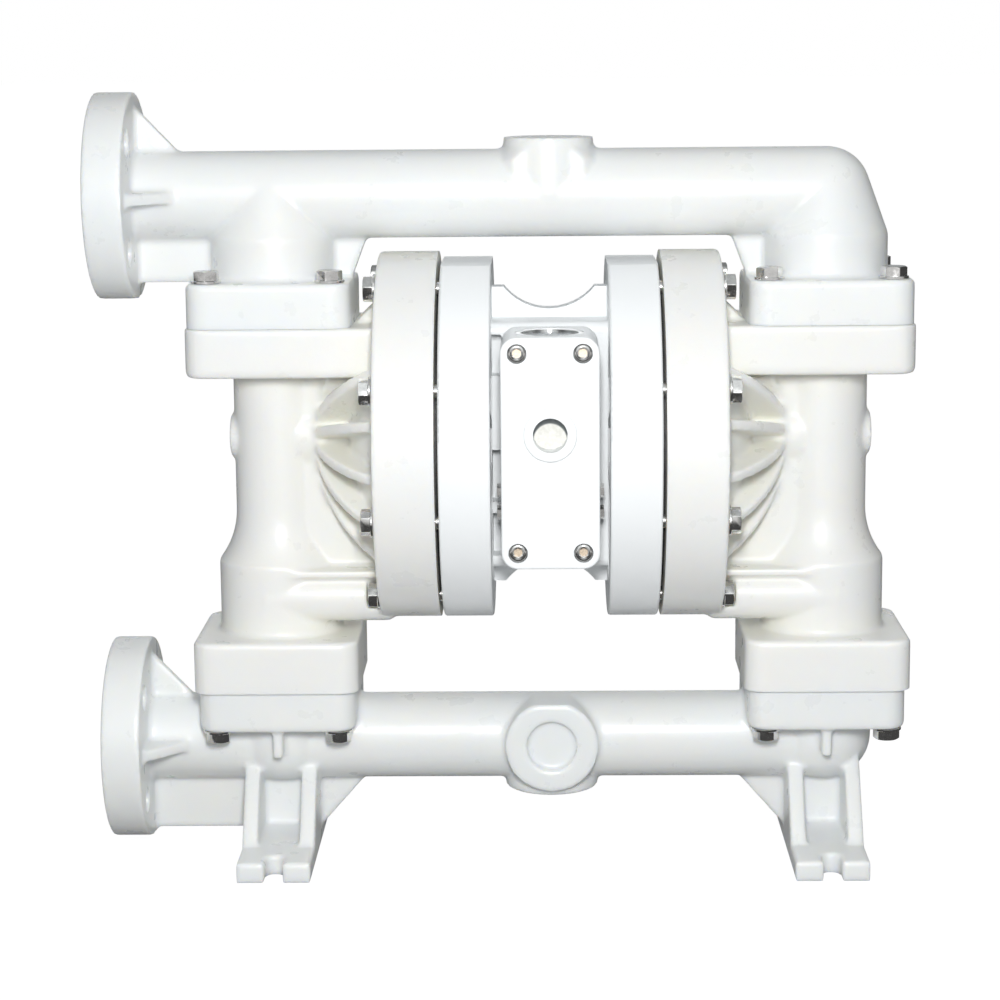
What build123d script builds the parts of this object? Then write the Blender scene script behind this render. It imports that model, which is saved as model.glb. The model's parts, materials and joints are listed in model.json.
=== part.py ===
from build123d import *
import os
from math import asin, atan2, cos, degrees, radians, sin, sqrt

# Air operated double diaphragm pump, millimetres.
# Frame: X along the pump axis (ports at -X), Y away from the air valve, Z up.
# The origin is on the floor, midway between the two feet.

# Layout
pump_axis_z = 240.0
branch_x = 155.0
discharge_axis_z = 376.0
suction_axis_z = 64.0
running_fit = 0.05
seat_gap = 0.1

# Pipe runs and port flanges
pipe_radius = 24.5
pipe_bore_radius = 14.0
port_reach = 98.0
port_bore_radius = 13.0
port_bore_length = 40.0
port_flange_radius = 57.5
port_flange_thickness = 22.0
port_bolt_circle = 85.0
port_bolt_count = 4
port_bolt_radius = 7.0
gusset_thickness = 6.8
gusset_height = 48.0
gusset_length = 25.5
web_thickness = 7.0

# Square joint flanges between the manifolds and the fluid caps
joint_top_z = 305.0
joint_bottom_z = 99.5
discharge_flange_thickness = 24.5
suction_flange_thickness = 23.1
discharge_flange_half = 45.5
suction_flange_half = 44.0
cap_flange_half = 46.5
cap_top_flange_thickness = 27.5
cap_bottom_flange_thickness = 28.9
flange_corner_radius = 11.0
flange_face_round = 2.5
joint_bolt_offset = 34.0

# Manifold branches
branch_radius = 34.6
branch_collar_height = 23.0
suction_collar_radius = 29.0
blank_boss_radius = 25.0
blank_boss_height = 31.0
blank_boss_flare = 4.0
side_boss_radius = 26.5
suction_rib_reach = 41.0
suction_rib_foot_z = 61.0
front_boss_reach = 31.0
front_boss_trim = 24.5
front_recess_radius = 14.25
front_recess_depth = 5.0
lower_boss_reach = 30.0

# Feet
foot_half_width = 20.7
foot_half_length = 80.3
foot_thickness = 11.5
foot_slot_radius = 5.0
foot_slot_depth = 16.0
leg_rib_thickness = 9.0
leg_rib_top_half = 19.0
leg_rib_foot_half = 51.0
leg_web_run = 27.0

# Clamped rings of the diaphragm chambers
ring_radius = 103.5
ring_edge_radius = 4.0
fluid_ring_inner_x = 62.0
fluid_ring_outer_x = 95.5
air_ring_inner_x = 32.1
air_ring_outer_x = 60.0
air_ring_flat_drop = 5.5
ring_bolt_inset = 10.7
ring_bolt_count = 8
ring_bolt_first_angle = 22.5

# Fluid caps
chamber_inset = 2.0
chamber_straight = 10.0
chamber_end_x = 104.0
chamber_end_radius = 30.0
dome_wall = 7.0
rib_count = 16
rib_thickness = 6.0
rib_sphere_radius = 115.2
rib_sphere_x = 26.6
manifold_gap = 2.0
hub_radius = 22.0
hub_tip_x = 142.0
hub_bore_radius = 13.0
column_radius = 24.25
column_bore_radius = 15.0
column_foot_z = 198.0
flare_radius = 46.0
neck_radius = 34.5
side_pad_radius = 12.0
side_pad_height = 1.9
duct_height = 30.5
duct_half_width = 34.5
duct_wall = 7.0
duct_bore_half_width = 19.0
duct_port_half_width = 15.0
cage_height = 41.0

# Air caps
air_wall = 6.5
air_floor_radius = 38.0
air_rim_x = 52.0
spigot_radius = 16.3
cap_back_depth = 5.5
cap_back_inner_radius = 46.0
cap_back_rim = 16.5
cap_back_ribs = 12
cap_back_rib_thickness = 5.0

# Centre housing
housing_half_depth = 38.0
housing_rise = 67.0
housing_drop = 70.5
housing_edge_radius = 5.0
saddle_half_height = 84.0
saddle_half_width = 25.5
saddle_dip = 12.4
saddle_thickness = 14.0
spigot_reach = 6.5
cap_screw_circle_radius = 27.0
cap_screw_count = 4
exhaust_boss_radius = 16.0
exhaust_boss_reach = 6.0
port_thread_radius = 9.3
exhaust_port_depth = 20.0
side_pocket_width = 6.0
side_pocket_depth = 15.0
side_pocket_corner = 2.0
side_pocket_heights = ((176.5, 200.7), (206.9, 236.2), (277.5, 300.5))

# Air valve
block_half_width = 26.5
block_bottom_z = 179.8
block_top_z = 305.0
block_front_y = -94.4
block_corner_radius = 9.0
block_edge_radius = 1.2
gasket_thickness = 2.0
gasket_margin = 1.0
valve_screw_x = 17.6
valve_screw_inset = 8.8
inlet_z = 252.6
inlet_ring_radius = 14.4
inlet_ring_height = 1.8
inlet_ring_edge = 0.9
inlet_depth = 13.5
inlet_passage_rise = 4.6
spool_y = -68.0
sleeve_outer_radius = 12.4
sleeve_bore_radius = 8.0
spool_travel = 12.0
spool_groove_radius = 5.4
spool_groove_length = 13.0
spool_groove_pitch = 25.0
end_cap_radius = 18.4
end_cap_thickness = 3.0
retaining_ring_thickness = 1.2
retaining_ring_bite = 0.8
retaining_ring_width = 3.5
side_plug_y = -60.0
side_plug_heights = (217.0, 205.0)
side_plug_flats = 6.8
side_plug_head = 2.8
side_plug_length = 5.0
passage_radius = 4.0
passage_x = 12.0
passage_z_offset = 12.0

# Shaft, plates and pilot
shaft_radius = 8.0
shaft_half_length = 50.0
stud_radius = 5.0
stud_length = 23.0
bushing_outer_radius = 11.0
bushing_length = 14.0
shaft_seal_length = 3.0
plate_radius = 34.0
inner_plate_thickness = 9.0
outer_plate_thickness = 13.0
outer_plate_rim = 5.0
diaphragm_thickness = 4.0
diaphragm_bulge = 9.0
bead_inset = 17.5
bead_width = 6.0
bead_overhang = 2.0
pilot_offset = 24.0
pilot_radius = 3.5
pilot_half_length = 43.9
pilot_sleeve_outer_radius = 6.0

# Ball checks
ball_radius = 19.0
ball_height = 9.0
ball_clearance = 0.7
seat_outer_radius = 24.5
seat_height = 9.0
seat_bore_radius = 13.0
cage_radius = 24.8
cage_rib_thickness = 5.0
seal_section_radius = 1.0
seal_circle_radius = 22.9

# Fasteners
m8_radius = 4.0
m8_hole_radius = 4.5
m8_head_flats = 13.0
m8_head_height = 5.3
m8_washer_radius = 8.3
m8_washer_thickness = 1.6
ring_bolt_length = 55.0
joint_bolt_length = 45.0
insert_radius = 5.5
insert_length = 18.0
head_pocket_radius = 9.5
m6_radius = 3.0
m6_hole_radius = 3.3
m6_head_radius = 5.0
m6_head_height = 6.0
m6_socket_flats = 5.0
valve_screw_length = 64.0
cap_screw_head_height = 3.4
cap_screw_length = 18.0

# Places worked out from the sizes above
pump_axis = Axis((0, 0, pump_axis_z), (1, 0, 0))
port_face_x = -(branch_x + port_reach)
port_back_x = port_face_x + port_flange_thickness
discharge_flange_top_z = joint_top_z + discharge_flange_thickness
suction_flange_bottom_z = joint_bottom_z - suction_flange_thickness
ring_bolt_circle_radius = ring_radius - ring_bolt_inset
bead_outer_radius = ring_radius - bead_inset
bead_inner_radius = bead_outer_radius - bead_width
chamber_radius = bead_inner_radius - chamber_inset
cap_back_outer_radius = ring_radius - cap_back_rim
air_ring_flat_height = ring_radius - air_ring_flat_drop
gap_centre_x = (fluid_ring_inner_x + air_ring_outer_x) / 2
air_floor_x = air_ring_inner_x + air_wall
housing_top_z = pump_axis_z + housing_rise
housing_bottom_z = pump_axis_z - housing_drop
block_back_y = -housing_half_depth - gasket_thickness
inlet_passage_z = inlet_z + inlet_passage_rise
block_middle_z = (block_bottom_z + block_top_z) / 2
block_half_height = (block_top_z - block_bottom_z) / 2
valve_screw_z = block_half_height - valve_screw_inset
end_cap_depth = end_cap_thickness + retaining_ring_thickness + 0.3
duct_bottom_z = pump_axis_z - ring_radius
duct_middle_z = duct_bottom_z + duct_height / 2
diaphragm_front_x = gap_centre_x + diaphragm_thickness / 2
diaphragm_back_x = gap_centre_x - diaphragm_thickness / 2
through = 2.0


def rod_x(radius, start, end, y=0.0, z=0.0):
    """A round bar along X from start to end."""
    return Pos((start + end) / 2, y, z) * Rot(0, 90, 0) * Cylinder(radius, abs(end - start))


def rod_y(radius, start, end, x=0.0, z=0.0):
    """A round bar along Y from start to end."""
    return Pos(x, (start + end) / 2, z) * Rot(90, 0, 0) * Cylinder(radius, abs(end - start))


def rod_z(radius, start, end, x=0.0, y=0.0):
    """A round bar along Z from start to end."""
    return Pos(x, y, (start + end) / 2) * Cylinder(radius, abs(end - start))


def block(x_span, y_span, z_span):
    """A block between two corners, each span a (low, high) pair."""
    middle = [(low + high) / 2 for low, high in (x_span, y_span, z_span)]
    size = [high - low for low, high in (x_span, y_span, z_span)]
    return Pos(*middle) * Box(*size)


def turned(outline, axis):
    """A solid turned from a closed half outline drawn in the XZ plane."""
    return revolve(Plane.XZ * make_face(outline), axis)


def upright_axis(x):
    return Axis((x, 0, 0), (0, 0, 1))


def around_pump_axis(radius, count, first_angle):
    """(y, z) places evenly spread round the pump axis."""
    angles = [radians(first_angle + 360 / count * step) for step in range(count)]
    return [(radius * cos(a), pump_axis_z + radius * sin(a)) for a in angles]


def corners(offset):
    return [(x, y) for x in (-offset, offset) for y in (-offset, offset)]


def both_sides(solid):
    """The right-hand piece and its mirror image as one group."""
    return Compound(children=[*solid.solids(), *mirror(solid, Plane.YZ).solids()])


def group(solids):
    return Compound(children=[piece for solid in solids for piece in solid.solids()])


# Port flange, gussets and pipe shared by the two manifolds
def pipe_run(axis_z):
    run = rod_x(pipe_radius, port_back_x, branch_x, z=axis_z)
    flange = rod_x(port_flange_radius, port_face_x, port_back_x, z=axis_z)
    flange = fillet(flange.edges().filter_by(GeomType.CIRCLE), 1.5)
    return run + flange + port_gussets(axis_z)


def port_gussets(axis_z):
    """Triangular ribs above, in front of and behind the pipe at its port flange."""
    slope = Polyline(
        (port_back_x, 0),
        (port_back_x, gusset_height),
        (port_back_x + gusset_length, pipe_radius - 1),
        (port_back_x + gusset_length, 0),
        close=True,
    )
    rib = extrude(Plane.XZ * make_face(slope), gusset_thickness / 2, both=True)
    rib = fillet(rib.edges().filter_by(Axis.Y).sort_by(Axis.Z)[-1], 2)
    return [Pos(0, 0, axis_z) * Rot(turn, 0, 0) * rib for turn in (0, 90, -90)]


def port_cuts(axis_z):
    bore = rod_x(port_bore_radius, port_face_x - through, port_face_x + port_bore_length + 1, z=axis_z)
    run = rod_x(pipe_bore_radius, port_face_x + port_bore_length, branch_x, z=axis_z)
    first = 180 / port_bolt_count
    places = [
        Pos(port_face_x + port_flange_thickness / 2, 0, axis_z)
        * Rot(first + 360 / port_bolt_count * step, 0, 0)
        * Pos(0, port_bolt_circle / 2, 0)
        for step in range(port_bolt_count)
    ]
    hole = Rot(0, 90, 0) * Cylinder(port_bolt_radius, port_flange_thickness + 2 * through)
    return [bore, run] + [place * hole for place in places]


def square_flange(half, bottom_z, top_z, x, round_edge_z):
    """A square joint flange with round corners and one softened face."""
    plate = Pos(x, 0, bottom_z) * extrude(
        RectangleRounded(2 * half, 2 * half, flange_corner_radius), top_z - bottom_z
    )
    face = plate.faces().filter_by(Axis.Z).sort_by(lambda f: abs(f.center().Z - round_edge_z))[0]
    return fillet(face.edges(), flange_face_round)


def joint_holes(radius, bottom_z, top_z, x):
    return [rod_z(radius, bottom_z, top_z, x + dx, dy) for dx, dy in corners(joint_bolt_offset)]


# Discharge manifold
def discharge_branch(x):
    """A branch that narrows from its collar to the round top of the pipe."""
    collar_top = discharge_flange_top_z + branch_collar_height
    drop = discharge_axis_z - collar_top
    reach = sqrt(branch_radius**2 + drop**2)
    lean = atan2(-drop, branch_radius) + asin(sqrt(1 - (pipe_radius / reach) ** 2))
    touch = (x + pipe_radius * cos(lean), discharge_axis_z + pipe_radius * sin(lean))
    half = (lean + radians(90)) / 2
    middle = (x + pipe_radius * cos(half), discharge_axis_z + pipe_radius * sin(half))
    crown = (x, discharge_axis_z + pipe_radius)
    outline = [
        Line((x, joint_top_z + 1), (x + branch_radius, joint_top_z + 1)),
        Line((x + branch_radius, joint_top_z + 1), (x + branch_radius, collar_top)),
        Line((x + branch_radius, collar_top), touch),
        ThreePointArc(touch, middle, crown),
        Line(crown, (x, joint_top_z + 1)),
    ]
    return turned(outline, upright_axis(x))


def ball_cage(x, bottom_z):
    """The hollow that a ball lifts in, with four guide ribs left standing."""
    top_z = bottom_z + cage_height
    hollow = rod_z(cage_radius, bottom_z - 1, top_z, x)
    rib_inner = ball_radius + ball_clearance
    depth = cage_radius - rib_inner + 1
    ribs = [
        Pos(x, 0, 0)
        * Rot(0, 0, turn)
        * Pos(rib_inner + depth / 2, 0, (bottom_z + seat_height / 2 + top_z + 1) / 2)
        * Box(depth, cage_rib_thickness, top_z + 1 - bottom_z - seat_height / 2)
        for turn in (0, 90, 180, 270)
    ]
    return hollow - ribs


def discharge_manifold():
    body = pipe_run(discharge_axis_z)
    for x in (-branch_x, branch_x):
        body += discharge_branch(x)
        body += square_flange(
            discharge_flange_half, joint_top_z, discharge_flange_top_z, x, discharge_flange_top_z
        )
    boss_top = discharge_axis_z + blank_boss_height
    boss = turned(
        Polyline(
            (0, discharge_axis_z),
            (blank_boss_radius + blank_boss_flare, discharge_axis_z),
            (blank_boss_radius + blank_boss_flare, discharge_axis_z + pipe_radius - blank_boss_flare),
            (blank_boss_radius, discharge_axis_z + pipe_radius + 1),
            (blank_boss_radius, boss_top),
            (0, boss_top),
            close=True,
        ),
        upright_axis(0),
    )
    flare_side = 2 * pipe_radius - 4
    body += boss & block((-60, 60), (-flare_side / 2, flare_side / 2), (discharge_axis_z, boss_top + 1))
    body += rod_z(blank_boss_radius, discharge_axis_z, boss_top)
    web_bottom = discharge_flange_top_z - 2
    web = block(
        (port_back_x - 1, -branch_x),
        (-web_thickness / 2, web_thickness / 2),
        (web_bottom, discharge_axis_z),
    )
    body += web
    for side in (-1, 1):
        inner_x = branch_x - discharge_flange_half
        outline = Polyline(
            (side * branch_x, web_bottom),
            (side * (inner_x + 2), web_bottom),
            (side * (inner_x - 8), discharge_axis_z - pipe_radius + 2),
            (side * (inner_x - 8), discharge_axis_z),
            (side * branch_x, discharge_axis_z),
            close=True,
        )
        body += extrude(Plane.XZ * make_face(outline), web_thickness / 2, both=True)
    body -= port_cuts(discharge_axis_z)
    for x in (-branch_x, branch_x):
        cone_bottom = joint_top_z + cage_height
        cone = Pos(x, 0, cone_bottom + 5.5) * Cone(cage_radius - 3, port_bore_radius, 12)
        body -= [ball_cage(x, joint_top_z), cone, rod_z(port_bore_radius, cone_bottom, discharge_axis_z, x)]
        body -= joint_holes(m8_hole_radius, joint_top_z - 1, discharge_flange_top_z + 1, x)
    return body


# Suction manifold with its feet
def suction_elbow(x):
    bottom = suction_axis_z - pipe_radius
    inner = suction_collar_radius - pipe_radius
    middle = (
        x + inner + pipe_radius * sin(radians(45)),
        suction_axis_z - pipe_radius * cos(radians(45)),
    )
    outline = [
        Line((x, bottom), (x + inner, bottom)),
        ThreePointArc((x + inner, bottom), middle, (x + suction_collar_radius, suction_axis_z)),
        Line((x + suction_collar_radius, suction_axis_z), (x + suction_collar_radius, joint_bottom_z - 5)),
        Line((x + suction_collar_radius, joint_bottom_z - 5), (x, joint_bottom_z - 5)),
        Line((x, joint_bottom_z - 5), (x, bottom)),
    ]
    return turned(outline, upright_axis(x))


def foot(x):
    """A slotted pad under two splayed ribs and a cross web."""
    pad = Pos(x, 0, 0) * extrude(Rectangle(2 * foot_half_width, 2 * foot_half_length), foot_thickness)
    slot_centre = foot_half_length - foot_slot_depth + foot_slot_radius
    for side in (-1, 1):
        pad -= rod_z(foot_slot_radius, -1, foot_thickness + 1, x, side * slot_centre)
        mouth = sorted((side * slot_centre, side * (foot_half_length + 1)))
        pad -= block((x - foot_slot_radius, x + foot_slot_radius), mouth, (-1, foot_thickness + 1))
    upright = pad.edges().filter_by(Axis.Z)
    pad = fillet(upright.filter_by(lambda e: abs(e.center().Y) > foot_half_length - 1), 1)
    outline = Polyline(
        (-leg_rib_foot_half, foot_thickness - 1),
        (-leg_rib_top_half, suction_axis_z - 7),
        (leg_rib_top_half, suction_axis_z - 7),
        (leg_rib_foot_half, foot_thickness - 1),
        close=True,
    )
    rib = extrude(Plane.YZ * make_face(outline), leg_rib_thickness)
    web = block(
        (x - foot_half_width + 1, x + foot_half_width - 1),
        (-web_thickness / 2, web_thickness / 2),
        (foot_thickness - 1, suction_axis_z),
    )
    left = Pos(x - foot_half_width, 0, 0) * rib
    right = Pos(x + foot_half_width - leg_rib_thickness, 0, 0) * rib
    return pad + left + right + web


def suction_manifold():
    body = pipe_run(suction_axis_z)
    for x in (-branch_x, branch_x):
        body += suction_elbow(x)
        body += square_flange(
            suction_flange_half, suction_flange_bottom_z, joint_bottom_z, x, suction_flange_bottom_z
        )
        body += foot(x)
    body += block(
        (port_back_x - 1, -branch_x),
        (-web_thickness / 2, web_thickness / 2),
        (foot_thickness - 2, suction_axis_z),
    )
    rib_outline = Polyline(
        (0, suction_flange_bottom_z + 1),
        (-suction_rib_reach, suction_flange_bottom_z + 1),
        (-suction_rib_reach, suction_flange_bottom_z),
        (1 - suction_collar_radius, suction_rib_foot_z),
        (0, suction_rib_foot_z),
        close=True,
    )
    front_rib = extrude(Plane.YZ * make_face(rib_outline), web_thickness / 2, both=True)
    body += [Pos(-branch_x, 0, 0) * front_rib, Pos(branch_x, 0, 0) * front_rib]
    for side in (-1, 1):
        foot_x = branch_x - foot_half_width
        outline = Polyline(
            (side * (foot_x + 2), foot_thickness - 1),
            (side * foot_x, foot_thickness - 1),
            (side * (foot_x - leg_web_run), suction_axis_z - pipe_radius + 1),
            (side * (foot_x + 2), suction_axis_z - pipe_radius + 1),
            close=True,
        )
        body += extrude(Plane.XZ * make_face(outline), web_thickness / 2, both=True)
    front_boss = rod_y(side_boss_radius, -front_boss_reach, 0, z=suction_axis_z)
    front_boss = fillet(front_boss.edges().filter_by(GeomType.CIRCLE).sort_by(Axis.Y)[0], 1.2)
    trim_z = suction_axis_z + front_boss_trim
    front_boss -= block((-60, 60), (-60, 60), (trim_z, trim_z + 30))
    lower_boss = rod_z(side_boss_radius, suction_axis_z - lower_boss_reach, suction_axis_z)
    lower_boss = fillet(lower_boss.edges().filter_by(GeomType.CIRCLE).sort_by(Axis.Z)[0], 1.2)
    body += [front_boss, lower_boss]
    recess_floor = front_recess_depth - front_boss_reach
    body -= rod_y(front_recess_radius, -front_boss_reach - 1, recess_floor, z=suction_axis_z)
    body -= port_cuts(suction_axis_z)
    for x in (-branch_x, branch_x):
        body -= rod_z(seat_outer_radius + seat_gap, joint_bottom_z - seat_height, joint_bottom_z + 1, x)
        body -= rod_z(seat_bore_radius, suction_axis_z, joint_bottom_z, x)
        body -= joint_holes(m8_hole_radius, suction_flange_bottom_z - 1, joint_bottom_z + 1, x)
    return body


# Fluid cap, modelled on the right
def dome_outline(offset):
    """Half outline of the chamber wall, offset outwards from the chamber."""
    start_x = fluid_ring_inner_x + chamber_straight
    end_x = chamber_end_x + offset
    rim = chamber_radius + offset
    end_radius = chamber_end_radius
    middle_x = start_x + (end_x - start_x) * 0.78
    middle_r = end_radius + (rim - end_radius) * 0.66
    z = pump_axis_z
    return [
        Line((fluid_ring_inner_x - 1, z), (fluid_ring_inner_x - 1, z + rim)),
        Line((fluid_ring_inner_x - 1, z + rim), (start_x, z + rim)),
        ThreePointArc((start_x, z + rim), (middle_x, z + middle_r), (end_x, z + end_radius)),
        Line((end_x, z + end_radius), (end_x, z)),
        Line((end_x, z), (fluid_ring_inner_x - 1, z)),
    ]


def fluid_ring():
    ring = rod_x(ring_radius, fluid_ring_inner_x, fluid_ring_outer_x, z=pump_axis_z)
    return fillet(ring.edges().filter_by(GeomType.CIRCLE), ring_edge_radius)


def dome_ribs():
    """Radial ribs whose outer edges lie on one sphere round the pump axis."""
    start_x = fluid_ring_outer_x - ring_edge_radius
    length = hub_tip_x - start_x
    plate = Pos(start_x + length / 2, 0, 0) * Box(length, 2 * ring_bolt_circle_radius, rib_thickness)
    step = 360 / rib_count
    plates = [Rot(step / 2 + step * turn, 0, 0) * plate for turn in range(rib_count // 2)]
    sphere = Pos(rib_sphere_x, 0, 0) * Sphere(rib_sphere_radius)
    ribs = Pos(0, 0, pump_axis_z) * (plates[0].fuse(*plates[1:]) & sphere)
    manifold_side = branch_x - discharge_flange_half - manifold_gap
    return ribs - block(
        (manifold_side, hub_tip_x + 1),
        (-ring_radius, ring_radius),
        (joint_top_z, pump_axis_z + ring_radius),
    )


def column():
    """Upright pipe of the cap, with its flare into the ball cage neck."""
    x = branch_x
    flare_drop = sqrt(flare_radius**2 - (flare_radius - (neck_radius - column_radius)) ** 2)
    neck_z = column_foot_z - flare_drop
    half = asin(flare_drop / flare_radius) / 2
    middle = (
        x + column_radius + flare_radius * (1 - cos(half)),
        column_foot_z - flare_radius * sin(half),
    )
    top = joint_top_z - 2
    bottom = joint_bottom_z + 2
    outline = [
        Line((x, top), (x + column_radius, top)),
        Line((x + column_radius, top), (x + column_radius, column_foot_z)),
        ThreePointArc((x + column_radius, column_foot_z), middle, (x + neck_radius, neck_z)),
        Line((x + neck_radius, neck_z), (x + neck_radius, bottom)),
        Line((x + neck_radius, bottom), (x, bottom)),
        Line((x, bottom), (x, top)),
    ]
    return turned(outline, upright_axis(x))


def suction_duct():
    """Flat duct with a round front and back, from the neck to the bottom of the ring."""
    section = Pos(0, duct_middle_z) * SlotOverall(2 * duct_half_width, duct_height)
    start_x = fluid_ring_outer_x - 1
    return Pos(start_x, 0, 0) * extrude(Plane.YZ * section, branch_x - start_x)


def bead_groove(face_x, inward):
    """Groove round a ring's clamped face that takes the diaphragm's bead."""
    floor_x = face_x + inward * (bead_overhang + seat_gap)
    outer = rod_x(bead_outer_radius + seat_gap, face_x - inward, floor_x, z=pump_axis_z)
    inner = rod_x(bead_inner_radius - seat_gap, face_x - 2 * inward, floor_x + inward, z=pump_axis_z)
    return outer - inner


def fluid_cap():
    z = pump_axis_z
    body = fluid_ring() + (turned(dome_outline(dome_wall), pump_axis) & block(
        (fluid_ring_inner_x, hub_tip_x), (-ring_radius, ring_radius), (z - ring_radius, z + ring_radius)
    ))
    body += dome_ribs()
    body += rod_x(hub_radius, chamber_end_x, hub_tip_x, z=z)
    body += column()
    pad = rod_x(side_pad_radius, branch_x, branch_x + column_radius + side_pad_height, z=z)
    body += fillet(pad.edges().filter_by(GeomType.CIRCLE).sort_by(Axis.X)[-1], 1.2)
    body += suction_duct()
    top_bottom_z = joint_top_z - cap_top_flange_thickness
    body += square_flange(cap_flange_half, top_bottom_z, joint_top_z, branch_x, top_bottom_z)
    bridge = block(
        (fluid_ring_outer_x - 1, branch_x), (-cap_flange_half, cap_flange_half), (top_bottom_z, joint_top_z)
    )
    body += fillet(bridge.edges().filter_by(Axis.X).sort_by(Axis.Z)[:2], flange_face_round)
    body += square_flange(
        cap_flange_half,
        joint_bottom_z,
        joint_bottom_z + cap_bottom_flange_thickness,
        branch_x,
        joint_bottom_z + cap_bottom_flange_thickness,
    )

    # Chamber, passages and ball cage
    body -= turned(dome_outline(0), pump_axis)
    body -= rod_x(hub_bore_radius, chamber_end_x - 1, branch_x, z=z)
    body -= rod_z(column_bore_radius, z - hub_bore_radius, joint_top_z, branch_x)
    body -= rod_z(seat_outer_radius + seat_gap, joint_top_z - seat_height, joint_top_z + 1, branch_x)
    body -= ball_cage(branch_x, joint_bottom_z)
    body -= rod_z(column_bore_radius, joint_bottom_z + cage_height - 1, duct_middle_z, branch_x)
    duct_floor = duct_bottom_z + duct_wall
    duct_roof = duct_bottom_z + duct_height - duct_wall
    port_start = fluid_ring_inner_x + chamber_straight
    body -= block(
        (port_start, branch_x), (-duct_bore_half_width, duct_bore_half_width), (duct_floor, duct_roof)
    )
    body -= block(
        (port_start, port_start + 20),
        (-duct_port_half_width, duct_port_half_width),
        (duct_floor, z - chamber_radius + 18),
    )

    # Bead groove, ring bolt holes and flange insert pockets
    body -= bead_groove(fluid_ring_inner_x, 1)
    for y, bolt_z in around_pump_axis(ring_bolt_circle_radius, ring_bolt_count, ring_bolt_first_angle):
        body -= rod_x(m8_hole_radius, fluid_ring_inner_x - 1, fluid_ring_outer_x + 1, y, bolt_z)
        body -= rod_x(head_pocket_radius, fluid_ring_outer_x, fluid_ring_outer_x + 24, y, bolt_z)
    pocket = insert_radius + running_fit
    pocket_depth = insert_length + 2.5
    body -= joint_holes(pocket, joint_top_z - pocket_depth, joint_top_z + 1, branch_x)
    body -= joint_holes(pocket, joint_bottom_z - 1, joint_bottom_z + pocket_depth, branch_x)
    return body


# Air cap, modelled on the right
def air_cap():
    z = pump_axis_z
    ring = rod_x(ring_radius, air_ring_inner_x, air_ring_outer_x, z=z)
    ring = fillet(ring.edges().filter_by(GeomType.CIRCLE), 1.5)
    body = ring - block(
        (0, branch_x), (-ring_radius, ring_radius), (z + air_ring_flat_height, z + ring_radius + 1)
    )
    dish = turned(
        Polyline(
            (air_ring_outer_x + 1, z),
            (air_ring_outer_x + 1, z + chamber_radius),
            (air_rim_x, z + chamber_radius),
            (air_floor_x, z + air_floor_radius),
            (air_floor_x, z),
            close=True,
        ),
        pump_axis,
    )
    body -= dish
    body -= bead_groove(air_ring_outer_x, -1)
    back = rod_x(cap_back_outer_radius, air_ring_inner_x - 1, air_ring_inner_x + cap_back_depth, z=z)
    back -= rod_x(cap_back_inner_radius, air_ring_inner_x - 2, air_ring_inner_x + 2 * cap_back_depth, z=z)
    rib = Box(3 * cap_back_depth, 2 * cap_back_outer_radius, cap_back_rib_thickness)
    step = 360 / cap_back_ribs
    for turn in range(cap_back_ribs // 2):
        back -= Pos(air_ring_inner_x, 0, z) * Rot(step * turn + step / 2, 0, 0) * rib
    keep_out = block(
        (0, branch_x),
        (-housing_half_depth - 2, housing_half_depth + 2),
        (z - saddle_half_height - 2, z + saddle_half_height + 2),
    )
    body -= back - keep_out
    body -= rod_x(spigot_radius + 0.2, air_ring_inner_x - 1, air_floor_x + 1, z=z)
    insert_floor = air_ring_outer_x - insert_length - 0.5
    for y, bolt_z in around_pump_axis(ring_bolt_circle_radius, ring_bolt_count, ring_bolt_first_angle):
        body -= rod_x(insert_radius + running_fit, insert_floor, air_ring_outer_x + 1, y, bolt_z)
    back_x = air_ring_inner_x - 1
    front_x = air_floor_x + 1
    for y, screw_z in around_pump_axis(cap_screw_circle_radius, cap_screw_count, 45):
        body -= rod_x(m6_hole_radius, back_x, front_x, y, screw_z)
        body -= rod_x(m6_head_radius + 0.3, air_floor_x - cap_screw_head_height, front_x, y, screw_z)
    body -= rod_x(pilot_sleeve_outer_radius + 0.2, back_x, front_x, 0, z + pilot_offset)
    body -= rod_x(passage_radius, back_x, front_x, -passage_y_inside(), z + passage_z_offset)
    return body


def passage_y_inside():
    """Depth at which the air passages cross from the valve to the chambers."""
    return housing_half_depth - 10


# Centre housing
def saddle_web():
    """Upright web whose top and bottom edges are hollowed between the air caps."""
    half_x = air_ring_inner_x
    outline = []
    for side in (1, -1):
        edge = pump_axis_z + side * saddle_half_height
        outline += [
            Line((side * half_x, pump_axis_z), (side * half_x, edge)),
            Line((side * half_x, edge), (side * saddle_half_width, edge)),
            ThreePointArc(
                (side * saddle_half_width, edge),
                (0, edge - side * saddle_dip),
                (-side * saddle_half_width, edge),
            ),
            Line((-side * saddle_half_width, edge), (-side * half_x, edge)),
            Line((-side * half_x, edge), (-side * half_x, pump_axis_z)),
        ]
    return extrude(Plane.XZ * make_face(outline), saddle_thickness / 2, both=True)


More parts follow.
